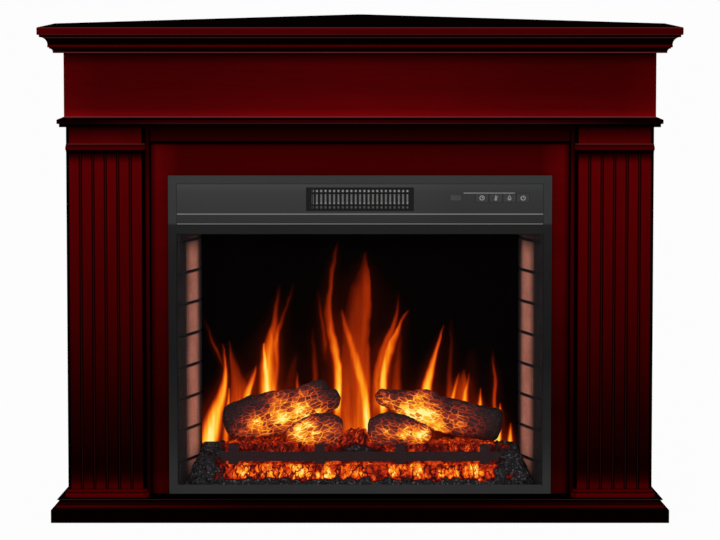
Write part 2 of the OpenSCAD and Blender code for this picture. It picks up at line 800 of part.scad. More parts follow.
// Place of the upright joint in course i, as a fraction of the panel's depth
function joint_at(i) = i % 2 == 0 ? 0.78 : 0.34;

module flame_screen() {
    half = brick_back_half + brick_t;
    color([0.08, 0.03, 0.02]) block([-half, half], [screen_y, screen_back_y], [floor_top, ceiling_z - clear]);
}

// ---------- firebox: fire scene ----------

ember_y = scene_y + 4;
ledge_y = ember_y + 12;            // front of the ledge that carries the grate
seat_y = ledge_y + 20;             // front of the level top that carries the logs
seat_z = floor_top + ember_h;

// Everything between the brick sides, less a gap
module between_bricks(gap) {
    translate([0, 0, floor_top]) linear_extrude(ceiling_z - floor_top) polygon([
        [-brick_front_half + gap, scene_y], [-brick_back_half + gap, screen_y - gap],
        [brick_back_half - gap, screen_y - gap], [brick_front_half - gap, scene_y]]);
}

grate_half = 260;

module ember_bed() {
    mound_y = ember_y + 8;
    color(ember_orange) intersection() {
        between_bricks(1);
        union() {
            along_x([-case_half, case_half]) polygon([
                [ember_y, floor_top], [screen_y, floor_top], [screen_y, seat_z], [seat_y, seat_z],
                [seat_y - 6, floor_top + ember_front_h], [ledge_y, floor_top + ember_front_h],
                [ember_y, floor_top + 8]]);
            // coal heaped up at both ends, beyond the grate
            both_hands() along_x([grate_half + 24, case_half]) polygon([
                [mound_y, floor_top], [screen_y, floor_top], [screen_y, seat_z + 10],
                [seat_y - 6, seat_z + 6], [mound_y + 6, floor_top + ember_front_h],
                [mound_y, floor_top + 10]]);
        }
    }
}

// A rough round piece of wood through a list of [x, y, z, radius], flattened from front to back
module branch(path, seed, sides = 12) {
    n = len(path);
    swept([for (k = [0:n - 1])
        let (p = path[k], a = path[max(k - 1, 0)], b = path[min(k + 1, n - 1)],
             lean = atan2(b[2] - a[2], b[0] - a[0]))
        [for (i = [0:sides - 1])
            let (t = -360 * i / sides,
                 bark = 0.07 * sin(3 * t + 70 * k + seed) + 0.05 * cos(5 * t - 40 * k + seed),
                 r = p[3] * (1 + bark),
                 up = r * sin(t))
            [p[0] - up * sin(lean), p[1] + log_flat * r * cos(t), p[2] + up * cos(lean)]]]);
}

log_flat = 0.56;                   // a log's depth over its height
log_r = 34;
log_depth = log_flat * log_r * 1.12;    // half the depth of the thickest log, its swellings included
back_log_y = screen_y - 2 - log_depth;
front_log_y = back_log_y - 2 * log_depth + 4;

// A log's path, from places given as [x as a share of the grate's half length, height over the seat and
// radius as shares of the thickest log's radius]
function log_path(y, places) =
    [for (p = places) [p[0] * grate_half, y, seat_z + p[1] * log_r, p[2] * log_r]];

// Keeps what lies above the seat
module seated() {
    intersection() {
        children();
        block([-case_half, case_half], [scene_y, screen_y - clear], [seat_z, ceiling_z]);
    }
}

module log_left() {
    color(charred) seated() union() {
        branch(log_path(back_log_y, [
            [-1.015, 0.94, 0.86], [-0.908, 0.97, 1], [-0.754, 1.12, 1], [-0.615, 1.41, 1],
            [-0.462, 1.71, 0.94], [-0.323, 1.94, 0.76], [-0.215, 2.09, 0.56], [-0.115, 2.18, 0.45]]), 10);
        branch(log_path(back_log_y, [
            [-0.431, 2.06, 0.5], [-0.323, 2.59, 0.46], [-0.223, 3.06, 0.36]]), 80);
    }
}

module log_left_front() {
    color(charred) seated() branch(log_path(front_log_y, [
        [-0.569, 0.65, 0.62], [-0.431, 0.47, 0.66], [-0.269, 0.35, 0.6], [-0.104, 0.29, 0.5]]), 30);
}

module log_right() {
    color(charred) seated() branch(log_path(back_log_y, [
        [1.062, 0.65, 0.78], [0.962, 0.76, 0.88], [0.808, 1, 0.96], [0.654, 1.29, 1],
        [0.508, 1.59, 0.94], [0.377, 1.88, 0.74], [0.231, 2.24, 0.5], [0.085, 2.53, 0.36]]), 50);
}

module log_right_front() {
    color(charred) seated() branch(log_path(front_log_y, [
        [0.046, 0.41, 0.6], [0.177, 0.65, 0.74], [0.354, 0.82, 0.8], [0.515, 0.88, 0.66]]), 120);
}

// Grate: a long bar with four uprights, hung on the ember bed's ledge by four tabs
grate_bar_h = 17;
grate_bar_t = 5;
grate_post_w = 19;
grate_post_h = 37;

module grate() {
    bar_z = hearth_top + grate_z;
    tab_z = floor_top + ember_front_h;
    bar_y = ledge_y - grate_bar_t - clear;
    posts = [-0.91, -0.29, 0.29, 0.9] * grate_half;
    color(charred) union() {
        block([-grate_half, grate_half], [bar_y, bar_y + grate_bar_t],
              [bar_z - grate_bar_h / 2, bar_z + grate_bar_h / 2]);
        for (x = posts) {
            block([x - grate_post_w / 2, x + grate_post_w / 2], [bar_y - 3, bar_y + grate_bar_t],
                  [bar_z - 0.38 * grate_post_h, bar_z + 0.62 * grate_post_h]);
            block([x - 6, x + 6], [bar_y, ledge_y + 12], [tab_z, tab_z + 4]);
        }
    }
}

// ---------- heater ----------

duct_x = [rotor_x - rotor_l / 2 - bearing_l, rotor_x + rotor_l / 2 + bearing_l];
housing_floor = ceiling_z + sheet_t;
rotor_shaft_r = shaft_r;
rod_shaft_r = shaft_r;

// Section of the blower's scroll and duct, grown by g
module scroll(g) {
    translate([rotor_y, grille_z]) circle(r = housing_r + g);
    translate([duct_y, grille_z - duct_h / 2 - g]) square([rotor_y - duct_y, duct_h + 2 * g]);
}

module blower_housing() {
    foot_l = 0.7 * housing_r;
    color(zinc) difference() {
        union() {
            along_x([duct_x[0], duct_x[1]]) scroll(wall_t);
            // feet on the firebox ceiling
            for (x = [duct_x[0], duct_x[1] - foot_l])
                block([x, x + foot_l], [rotor_y - 1.3 * housing_r, rotor_y - 1.04 * housing_r],
                      [housing_floor, grille_z - duct_h / 2]);
        }
        along_x([duct_x[0] + bearing_l, duct_x[1] - bearing_l]) scroll(0);
        // mouth
        block([duct_x[0] + bearing_l, duct_x[1] - bearing_l], [duct_y - past, duct_y + past],
              [grille_z - duct_h / 2, grille_z + duct_h / 2]);
        // air intake at the back
        block([duct_x[0] + bearing_l, duct_x[1] - bearing_l],
              [rotor_y + 0.35 * housing_r, rotor_y + 2 * housing_r],
              [grille_z - 0.52 * housing_r, grille_z + 2 * housing_r]);
        rod(rotor_shaft_r + run_clear, [duct_x[0] - past, duct_x[1] + past], rotor_y, grille_z);
    }
}

module blower_rotor() {
    x0 = rotor_x - rotor_l / 2 + end_play;
    x1 = rotor_x + rotor_l / 2 - end_play;
    color(grey_steel) union() {
        rod(rotor_shaft_r, [duct_x[0], duct_x[1] + motor_l / 2], rotor_y, grille_z);
        for (x = [x0, rotor_x - 1, x1 - 2]) rod(rotor_d / 2, [x, x + 2], rotor_y, grille_z);
        for (i = [0:rotor_blades - 1])
            translate([0, rotor_y, grille_z]) rotate([360 * i / rotor_blades, 0, 0])
                translate([0, 0, rotor_d / 2 - 4.2]) rotate([35, 0, 0])
                    block([x0 + 1, x1 - 1], [-0.4, 0.4], [-2, 3.4]);
    }
}

module blower_motor() {
    x = duct_x[1];
    color(black_steel) difference() {
        rod(motor_r, [x, x + motor_l], rotor_y, grille_z);
        rod(rotor_shaft_r + run_clear, [x - past, x + motor_l / 2 + end_play], rotor_y, grille_z);
    }
}

// Heating element: a frame of two end plates with four rods between them
module heating_element() {
    x = [duct_x[0] + bearing_l + clear, duct_x[1] - bearing_l - clear];
    y = [duct_y + 40, duct_y + 66];
    z = [grille_z - duct_h / 2, grille_z + duct_h / 2 - clear];
    color(zinc) union() {
        block([x[0], x[0] + 2], y, z);
        block([x[1] - 2, x[1]], y, z);
        for (dy = [0.3, 0.7], dz = [0.3, 0.7])
            rod(2.6, x, y[0] + dy * (y[1] - y[0]), z[0] + dz * (z[1] - z[0]));
    }
}

// Thermal cut-out on the roof of the duct
module thermal_cutout() {
    z = grille_z + duct_h / 2 + wall_t;
    color(zinc) translate([rotor_x + 50, duct_y + 80, z]) union() {
        cylinder(h = 2, r = 8);
        cylinder(h = 7, r = 6);
    }
}

// ---------- flame effect and wiring ----------

// Spindle with bright blades that throw moving light up the flame screen
module flame_rod() {
    groups = 9;
    span = 2 * (rod_half - 6) / groups;
    color(zinc) union() {
        rod(rod_shaft_r, [-rod_half - ear_t + end_play, rod_half + ear_t + flame_motor_l / 2], rod_y, rod_z);
        rod(rod_shaft_r + 1.5, [-rod_half + end_play, rod_half - end_play], rod_y, rod_z);
        for (i = [0:groups - 1], k = [0:2])
            translate([-rod_half + 6 + i * span, rod_y, rod_z]) rotate([i * 40 + k * 120, 0, 0])
                block([2, span - 2], [-0.4, 0.4], [rod_shaft_r, flame_rod_d / 2]);
    }
}

module flame_motor() {
    x = rod_half + ear_t;
    color(zinc) difference() {
        rod(flame_motor_r, [x, x + flame_motor_l], rod_y, rod_z);
        rod(rod_shaft_r + run_clear, [x - past, x + flame_motor_l / 2 + end_play], rod_y, rod_z);
    }
}

// Light strip on the case floor, under the flame rod's front
module led_strip() {
    y0 = screen_back_y + 5;
    lamps = 12;
    color(circuit_green) union() {
        block([-rod_half + 10, rod_half - 10], [y0, y0 + 12], [floor_top, floor_top + board_back]);
        for (i = [0:lamps - 1]) {
            x = (i - (lamps - 1) / 2) * (2 * rod_half - 60) / (lamps - 1);
            block([x - 2.5, x + 2.5], [y0 + 3.5, y0 + 8.5],
                  [floor_top + board_back, floor_top + board_back + 2]);
        }
    }
}

power_board_x = 40;                // left end of the power board
power_board_l = 130;

// Power board on four posts behind the flame rod, with a transformer, a relay and two capacitors
module power_board() {
    y0 = rod_y + flame_rod_d / 2 + 6;
    y1 = case_back_y - 5;
    edge = 5;
    post_h = 6;
    z = floor_top + post_h;
    top = z + board_back;
    // x at a share of the board's length
    function along(share) = power_board_x + share * power_board_l;
    color(circuit_green) union() {
        for (x = [along(0) + edge, along(1) - edge], y = [y0 + edge, y1 - edge])
            translate([x, y, floor_top]) cylinder(h = post_h, r = 3);
        block([along(0), along(1)], [y0, y1], [z, top]);
        block([along(0.09), along(0.38)], [y0 + edge, y1 - edge], [top, top + 26]);
        block([along(0.48), along(0.65)], [y0 + edge, y0 + edge + 15], [top, top + 16]);
        for (share = [0.75, 0.88]) translate([along(share), (y0 + y1) / 2, top]) cylinder(h = 18, r = 6);
    }
}

// Gland in the back of the case where the mains lead enters
module cable_gland() {
    y = case_back_y;
    bore_r = 4;
    color(black_steel) difference() {
        union() {
            pin(gland_r, gland_x, [y - 6, y + sheet_t], gland_z);
            pin(gland_r + 4, gland_x, [y + sheet_t, y + sheet_t + 4], gland_z);
            pin(gland_r - 2, gland_x, [y + sheet_t, y + sheet_t + 14], gland_z);
        }
        pin(bore_r, gland_x, [y - 6 - past, y + sheet_t + 14 + past], gland_z);
    }
}

plinth_front();
left_hand() plinth_end();  // plinth_left
plinth_end();  // plinth_right
wall_rails();
hearth_board();
left_hand() pilaster();  // pilaster_left
pilaster();  // pilaster_right
left_hand() capital();  // capital_left
capital();  // capital_right
left_hand() pilaster_foot();  // pilaster_foot_left
pilaster_foot();  // pilaster_foot_right
left_hand() jamb();  // jamb_left
jamb();  // jamb_right
lintel();
front_panel();
left_hand() side_panel();  // side_panel_left
side_panel();  // side_panel_right
ledge_front();
left_hand() ledge_end();  // ledge_left
ledge_end();  // ledge_right
frieze_board();
cornice_front();
left_hand() cornice_end();  // cornice_left
cornice_end();  // cornice_right
mantel_shelf();
steel_brackets();
fixing_screws();
trim_frame();
control_panel();
heater_grille();
display_window();
key(0);  // timer_key
key(1);  // heat_key
key(2);  // flame_key
key(3);  // power_key
key_board();
glass_pane();
case_wrap();
case_floor();
case_back();
firebox_ceiling();
left_hand() brick_side();  // brick_left
brick_side();  // brick_right
flame_screen();
ember_bed();
log_left();
log_left_front();
log_right();
log_right_front();
grate();
heating_element();
blower_housing();
blower_rotor();
blower_motor();
thermal_cutout();
flame_rod();
flame_motor();
led_strip();
power_board();
cable_gland();
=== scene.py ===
"""A corner electric fireplace: a glossy mahogany surround round a glazed firebox with logs, embers and
flames. Metres, in the frame's own axes: +X along the front, +Y back into the corner, +Z up."""
import math

import bpy
import numpy as np
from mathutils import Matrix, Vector


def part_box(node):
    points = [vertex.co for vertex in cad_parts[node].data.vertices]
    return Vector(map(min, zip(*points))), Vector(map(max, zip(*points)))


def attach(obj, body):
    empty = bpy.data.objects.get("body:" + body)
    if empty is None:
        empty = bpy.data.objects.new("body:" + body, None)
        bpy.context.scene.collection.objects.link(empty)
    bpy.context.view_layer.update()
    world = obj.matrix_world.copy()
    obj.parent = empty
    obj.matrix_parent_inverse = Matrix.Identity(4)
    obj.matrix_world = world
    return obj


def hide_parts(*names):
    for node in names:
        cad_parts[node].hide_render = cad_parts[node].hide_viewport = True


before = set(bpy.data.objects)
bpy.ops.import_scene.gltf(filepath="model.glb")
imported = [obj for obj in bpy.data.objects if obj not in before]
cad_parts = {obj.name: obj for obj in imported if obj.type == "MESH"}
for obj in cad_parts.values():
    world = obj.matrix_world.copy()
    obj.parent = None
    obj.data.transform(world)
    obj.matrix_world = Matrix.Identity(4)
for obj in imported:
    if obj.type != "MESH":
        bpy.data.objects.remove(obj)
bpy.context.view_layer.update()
MM = 0.001
KEYS = ["timer_key", "heat_key", "flame_key", "power_key"]


def pair(name):
    """The names of the left and the right piece of a kind."""
    return [name + "_left", name + "_right"]


def grey(tone):
    return (tone,) * 3


def even(share):
    """Stops of one share at all heights and distances."""
    return [(0, share), (900, share)]


# ---------- shader maths ----------

class Value:
    """A node's output, with Python's own operators."""

    def __init__(self, finish, socket):
        self.finish = finish
        self.socket = socket

    def reckon(self, operation, *others, **settings):
        return self.finish.node("ShaderNodeMath", {"operation": operation, **settings}, [self, *others])

    def __add__(self, other):
        return self.reckon("ADD", other)

    __radd__ = __add__

    def __sub__(self, other):
        return self.reckon("SUBTRACT", other)

    def __rsub__(self, other):
        return self.finish.node("ShaderNodeMath", {"operation": "SUBTRACT"}, [other, self])

    def __mul__(self, other):
        return self.reckon("MULTIPLY", other)

    __rmul__ = __mul__

    def __truediv__(self, other):
        return self.reckon("DIVIDE", other)

    def __pow__(self, other):
        return self.reckon("POWER", other)

    def clipped(self):
        return self.reckon("ADD", 0.0, use_clamp=True)

    def between(self, low, high):
        """0 below low, 1 above high and smooth in between; the other way round if low is the larger."""
        return self.finish.node("ShaderNodeMapRange", {"interpolation_type": "SMOOTHSTEP"},
                                {"Value": self, "From Min": low, "From Max": high})

    def band(self, low, full_from, full_to, high):
        """1 between the two middle values, and 0 below low and above high."""
        return self.between(low, full_from) * self.between(high, full_to)


class Finish:
    """The nodes of a material, or of a world, made by calls."""

    def __init__(self, name, owner=None, end="ShaderNodeOutputMaterial"):
        self.owner = owner or bpy.data.materials.new(name)
        self.owner.use_nodes = True
        self.tree = self.owner.node_tree
        self.tree.nodes.clear()
        self.end = self.tree.nodes.new(end)

    def node(self, kind, settings=None, inputs=(), out=0):
        """One node: its settings come first, then the values or links of its sockets."""
        made = self.tree.nodes.new(kind)
        for key, setting in (settings or {}).items():
            if key == "stops":
                ramp = made.color_ramp
                while len(ramp.elements) < len(setting):
                    ramp.elements.new(1.0)
                for stop, (place, colour) in zip(ramp.elements, setting):
                    stop.position = place
                    stop.color = (*colour, 1.0)
            else:
                setattr(made, key, setting)
        for key, given in (inputs.items() if isinstance(inputs, dict) else enumerate(inputs)):
            socket = made.inputs[key]
            if isinstance(given, Value):
                self.tree.links.new(given.socket, socket)
            elif socket.type == "RGBA" and len(given) == 3:
                socket.default_value = (*given, 1.0)
            else:
                socket.default_value = given
        return Value(self, made.outputs[out])

    def place(self):
        return self.node("ShaderNodeTexCoord", out="Object")

    def axes(self, vector):
        return [self.node("ShaderNodeSeparateXYZ", None, [vector], out=i) for i in range(3)]

    def vector(self, operation, *sides):
        return self.node("ShaderNodeVectorMath", {"operation": operation}, sides)

    def stretched(self, vector, scale):
        return self.vector("MULTIPLY", vector, scale)

    def noise(self, vector, scale, detail=3.0, rough=0.55, out="Fac"):
        return self.node("ShaderNodeTexNoise", None,
                         {"Vector": vector, "Scale": scale, "Detail": detail, "Roughness": rough}, out)

    def shifted(self, vector, scale, amount):
        """The place, moved about by noise."""
        swirl = self.noise(vector, scale, 2.0, 0.5, "Color")
        moved = self.stretched(self.vector("SUBTRACT", swirl, grey(0.5)), grey(amount))
        return self.vector("ADD", vector, moved)

    def wrinkles(self, vector, scale, rough, width):
        """1 along winding lines, where noise passes its middle."""
        middling = self.noise(vector, scale, 2.0, rough) - 0.5
        return middling.reckon("ABSOLUTE").between(width, 0.0)

    def cracks(self, vector, size):
        """Distance to the nearest edge of a net of cells of that size."""
        return self.node("ShaderNodeTexVoronoi", {"feature": "DISTANCE_TO_EDGE"},
                         {"Vector": vector, "Scale": 1 / size})

    def cells(self, vector, size):
        """A number from 0 to 1 for each cell of that net."""
        return self.node("ShaderNodeTexVoronoi", None, {"Vector": vector, "Scale": 1 / size}, out="Color")

    def along(self, distance, stops):
        """A share, up to 2, that follows (millimetres, share) stops."""
        low, high = stops[0][0], stops[-1][0]
        level = (distance / MM - low) / (high - low)
        halves = [((at - low) / (high - low), grey(share / 2)) for at, share in stops]
        return 2.0 * self.ramp(level.clipped(), halves)

    def by_height(self, stops):
        return self.along(self.axes(self.place())[2], stops)

    def mix(self, share, first, second):
        return self.node("ShaderNodeMix", {"data_type": "RGBA"}, {0: share, 6: first, 7: second}, out=2)

    def ramp(self, value, stops):
        return self.node("ShaderNodeValToRGB", {"stops": stops}, [value])

    def stored(self, name):
        return self.node("ShaderNodeAttribute", {"attribute_name": name}, out="Fac")

    def seen_straight(self):
        """1 for what the camera, gloss and glass see, and 0 for what lights the object."""
        camera, gloss, glass = (self.node("ShaderNodeLightPath", out=f"Is {kind} Ray")
                                for kind in ("Camera", "Glossy", "Transmission"))
        return camera.reckon("MAXIMUM", gloss).reckon("MAXIMUM", glass)

    def bump(self, height, distance, strength=1.0):
        return self.node("ShaderNodeBump", None,
                         {"Strength": strength, "Distance": distance, "Height": height})

    def shader(self, **sockets):
        names = {key.replace("_", " "): given for key, given in sockets.items()}
        return self.node("ShaderNodeBsdfPrincipled", None, names)

    def coated(self, **sockets):
        """The whole finish is one shader."""
        return self.done(self.shader(**sockets))

    def done(self, shader):
        self.tree.links.new(shader.socket, self.end.inputs["Surface"])
        return self.owner


def speckled(name, scale, dark, pale, rough, detail=3.0, relief=None, **sockets):
    """A finish whose colour, from dark to pale, and roughness, as (least, spread), follow one fine noise.
    relief is the (height, strength) of that noise as bumps."""
    f = Finish(name)
    speck = f.noise(f.place(), scale, detail)
    if relief:
        sockets["Normal"] = f.bump(speck, *relief)
    return f.coated(Base_Color=f.mix(speck, dark, pale), Roughness=rough[0] + rough[1] * speck, **sockets)


# ---------- noise for meshes ----------

def chance(cells, seed):
    """A number from 0 to 1 for each whole-numbered cell."""
    return np.abs(np.modf(np.sin(cells @ np.array([127.1, 311.7, 74.7]) + 19.19 * seed) * 43758.5453)[0])


def held(level):
    """Numbers kept from 0 to 1."""
    return np.clip(level, 0, 1)


def rounded(share):
    """The same share with a soft start and end."""
    return share * share * (3 - 2 * share)


def soft_noise(points, size, seed):
    """Smooth noise from 0 to 1 with lumps of about that size."""
    places = np.asarray(points, float) / size
    cells = np.floor(places)
    share = rounded(places - cells)
    total = np.zeros(len(places))
    for corner in np.ndindex(2, 2, 2):
        weight = np.prod(np.where(corner, share, 1 - share), axis=1)
        total += weight * chance(cells + corner, seed)
    return total


def lump_noise(points, size, seed):
    """Distances to the nearest and to the second nearest of points strewn one to a cube of that size, and
    the nearest one's own number."""
    places = np.asarray(points, float) / size
    cells = np.floor(places)
    nearest = np.full(len(places), 9.0)
    second = nearest.copy()
    number = np.zeros(len(places))
    for step in np.ndindex(3, 3, 3):
        cell = cells + np.array(step) - 1
        spot = cell + np.stack([chance(cell, seed + k) for k in (0, 1, 2)], axis=1)
        away = np.linalg.norm(places - spot, axis=1)
        number = np.where(away < nearest, chance(cell, seed + 5), number)
        second = np.minimum(second, np.maximum(nearest, away))
        nearest = np.minimum(nearest, away)
    return nearest, second, number


# ---------- pieces ----------

def placed(name, data, place=(0, 0, 0), turn=(0, 0, 0)):
    """A new object in the scene."""
    made = bpy.data.objects.new(name, data)
    made.location, made.rotation_euler = place, turn
    bpy.context.scene.collection.objects.link(made)
    return made


def piece(name, points, faces, finish, slot, body="fireplace", replaces=(), smooth=True, **stored):
    """A mesh that rides on a body, with any numbers stored at its points."""
    mesh = bpy.data.meshes.new(name)
    mesh.from_pydata([tuple(map(float, p)) for p in points], [], faces)
    mesh.update()
    for key, numbers in stored.items():
        mesh.attributes.new(key, "FLOAT", "POINT").data.foreach_set("value", np.asarray(numbers, np.float32))
    mesh.polygons.foreach_set("use_smooth", [smooth] * len(mesh.polygons))
    mesh.materials.append(finish)
    made = placed(name, mesh)
    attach(made, body)
    if replaces:
        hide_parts(*replaces)


def unit(vectors):
    """The same vectors at length 1."""
    return vectors / (np.linalg.norm(vectors, axis=-1, keepdims=True) + 1e-12)


def joined(parts):
    """One list of points and one of faces for several (points, faces)."""
    points, faces = [], []
    for more, quads in parts:
        faces += [tuple(len(points) + i for i in quad) for quad in quads]
        points += list(more)
    return points, faces


def grid_faces(rows, columns, closed=False):
    """Quads of a grid of points stored row by row, closed round each row if asked."""
    last = columns if closed else columns - 1
    return [(r * columns + c, r * columns + (c + 1) % columns,
             (r + 1) * columns + (c + 1) % columns, (r + 1) * columns + c)
            for r in range(rows - 1) for c in range(last)]


def grid_rim(rows, columns):
    """The places of a grid's outermost points, in order round it."""
    return ([*range(columns)] + [r * columns + columns - 1 for r in range(1, rows)]
            + [(rows - 1) * columns + c for c in range(columns - 2, -1, -1)]
            + [r * columns for r in range(rows - 2, 0, -1)])


def walls(rim, far):
    """Quads from a closed row of points to the row behind it."""
    return list(zip(np.roll(rim, -1).tolist(), rim, far, np.roll(far, -1).tolist()))


# ---------- finishes of the surround ----------

FULL_RED = (0.28, 0.0003, 0.0010)
UNLIT_RED = (0.0003, 0.0002, 0.0002)
HIGHLIGHT_RED = (0.20, 0.036, 0.040)
FLUTE_HIGHLIGHT_RED = (0.024, 0.0036, 0.0030)
BARE_BOARD = [(0.30, 0.21, 0.13), (0.46, 0.35, 0.24)]
ALONG_X, ALONG_Y, ALONG_Z = (0.35, 5.0, 5.0), (5.0, 0.35, 5.0), (5.0, 5.0, 0.35)
EVEN = [(0, 1.0), (600, 1.0)]


def mahogany(name, grain, shading, highlight_lines=(), spread=EVEN, sides=1.0):
    """Red lacquer over mahogany, its grain along the board's length, with light and shade painted into the
    red.
    shading gives the share of the full red at heights, and spread multiplies it by distance from the centre
    line, all in millimetres: both are painted light and shade. sides is what is left of it on narrow faces
    that look sideways, as painted shade, and the floor of a flute between such faces gets a painted
    highlight. Thin paler lines along given edges are painted highlights, tops are painted almost black as
    shade, and backs are bare board."""
    f = Finish("mahogany_" + name)
    place = f.place()
    grained = f.stretched(place, grain)
    figure = f.noise(f.shifted(grained, 3.0, 0.25), 5.0, 6.0, 0.6)
    pores = f.noise(grained, 42.0)
    tone = (0.7 * figure + 0.3 * pores).between(0.25, 0.75)
    across, inward, height = f.axes(place)
    side, back, rise = f.axes(f.node("ShaderNodeNewGeometry", out="True Normal"))
    top = rise.between(0.80, 0.97)
    turned = side.reckon("ABSOLUTE").between(0.22, 0.55)
    reach = f.along(across.reckon("ABSOLUTE"), spread)
    # painted light and shade by height and across, with painted shade that darkens tops almost to black and
    # faces that look sideways
    depth = f.by_height(shading) * reach * (0.86 + 0.28 * tone) * (1 - 0.97 * top)
    depth = depth * (1 - (1 - sides) * turned)
    colour = f.mix(depth.clipped(), UNLIT_RED, FULL_RED)
    # painted highlight: a paler brown line along the floor of each flute
    if name == "pilasters":
        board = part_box("pilaster_left")[0]
        sunk = (inward - board.y).between(2.1 * MM, 2.4 * MM)
        over_the_foot = height.between(board.z + 15 * MM, board.z + 16 * MM)
        colour = f.mix(sunk * over_the_foot * (1 - turned), colour, FLUTE_HIGHLIGHT_RED)
    # painted highlights: thin paler lines along the given edges
    for edge, strength in highlight_lines:
        line = (height / MM).band(edge - 1.3, edge - 0.4, edge + 0.4, edge + 1.3)
        painted_highlight = line * reach.clipped() * (1 - top) * strength * (0.7 + 0.6 * figure)
        colour = f.mix(painted_highlight, colour, HIGHLIGHT_RED)
    bare = back.between(0.45, 0.55)
    if name == "sides":          # their inner faces too
        inside = side * across.reckon("SIGN")
        bare = bare.reckon("MAXIMUM", inside.between(-0.30, -0.40))
    board = f.mix(f.noise(place, 90.0, 4.0), *BARE_BOARD)
    wood = f.shader(Base_Color=f.mix(bare, colour, board), Roughness=0.42 + 0.2 * tone,
                    Specular_IOR_Level=0.0, Normal=f.bump(pores, 0.0002, 0.25))
    lacquer = f.shader(Base_Color=(0.95, 0.02, 0.04), Metallic=1.0, Roughness=0.16 + 0.08 * figure,
                       Normal=f.bump(figure, 0.0004, 0.15))
    gloss = (0.0006 + 0.030 * depth).clipped() * (1 - bare)
    return f.done(f.node("ShaderNodeMixShader", None, [gloss, wood, lacquer]))


def raw_timber():
    f = Finish("raw_timber")
    grained = f.stretched(f.place(), (1.0, 6.0, 9.0))
    rings = f.noise(f.shifted(grained, 4.0, 0.5), 7.0, 5.0)
    colour = f.ramp(rings, [(0.3, (0.42, 0.28, 0.15)), (0.55, (0.58, 0.42, 0.26)),
                            (0.75, (0.36, 0.22, 0.11))])
    return f.coated(
        Base_Color=colour, Roughness=0.6 + 0.25 * rings, Specular_IOR_Level=0.25,
        Normal=f.bump(rings, 0.0005, 0.3))


def zinc_steel():
    f = Finish("zinc_steel")
    place = f.place()
    spangle = f.noise(f.shifted(place, 60.0, 0.02), 130.0, 2.0)
    return f.coated(
        Base_Color=f.mix(spangle, (0.42, 0.43, 0.45), (0.66, 0.67, 0.69)), Metallic=1.0,
        Roughness=0.28 + 0.25 * spangle)


# ---------- finishes of the firebox ----------

def outlet_aluminium():
    """Mill-finish fin stock, with painted light where the slots of the grille open on it, brightest along the
    top row.
    """
    f = Finish("outlet_aluminium")
    haze = f.noise(f.place(), 180.0)
    # painted light: paler in bands behind the slots, palest along the top
    pale = f.by_height([(576, 0.36), (584, 0.36), (587, 0.72), (590, 0.36), (605, 0.42), (609, 1.0),
                        (613, 1.0)])
    return f.coated(
        Base_Color=f.mix(pale * (0.7 + 0.6 * haze), grey(0.02), (0.95, 0.95, 0.94)),
        Metallic=0.1, Roughness=0.35 + 0.2 * haze)


def black_enamel(name, shading):
    """Fine-textured black paint on sheet steel, with its depth at heights in millimetres: 1 is the palest.
    Where that depth changes with height, it is painted light and shade.
    """
    f = Finish(name)
    place = f.place()
    speck = f.noise(place, 900.0, 2.0)
    cloud = f.noise(place, 9.0)
    pale = f.by_height(shading) * (0.85 + 0.3 * cloud)
    return f.coated(
        Base_Color=f.mix(pale.clipped(), grey(0.003), grey(0.069)),
        Roughness=0.42 + 0.16 * speck, Specular_IOR_Level=0.06,
        Normal=f.bump(speck, 0.0001, 0.2))


def grey_panel():
    """Charcoal control panel with two painted highlight lines along its beads, and light and shade painted
    into it:
    paler towards the top and darker towards the right.
    """
    f = Finish("grey_panel")
    place = f.place()
    brushed = f.noise(f.stretched(place, (1.0, 1.0, 60.0)), 30.0)
    across, _, height = f.axes(place)
    low_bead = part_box("control_panel")[0].z + 1.0 * MM
    top_bead = low_bead + 19.0 * MM
    # painted highlights: two thin bright lines along the beads
    bright = (height.band(low_bead - 1.0 * MM, low_bead - 0.4 * MM, low_bead + 0.5 * MM, low_bead + 1.1 * MM)
              + height.band(top_bead - 2.1 * MM, top_bead - 1.2 * MM, top_bead - 0.1 * MM,
                            top_bead + 0.8 * MM))
    # painted light and shade: paler towards the top, darker towards the right
    pale = f.by_height([(547, 0.32), (566, 0.42), (568, 0.52), (574, 0.56), (590, 0.62), (608, 0.70),
                        (619, 0.92), (623, 1.0)]) * (1 - 0.22 * across.between(60 * MM, 200 * MM))
    ground = f.mix(pale, grey(0.014), (0.083, 0.084, 0.084))
    return f.coated(
        Base_Color=f.mix(bright.clipped(), ground, grey(0.34)),
        Roughness=0.38 + 0.1 * brushed, Specular_IOR_Level=0.06,
        Normal=f.bump(brushed, 0.0001, 0.15))


def clear_glass():
    f = Finish("clear_glass")
    dust = f.noise(f.place(), 14.0, 4.0)
    return f.coated(
        Base_Color=grey(0.01), Roughness=0.04 + 0.05 * dust, Alpha=0.010 + 0.010 * dust,
        Specular_IOR_Level=0.1)


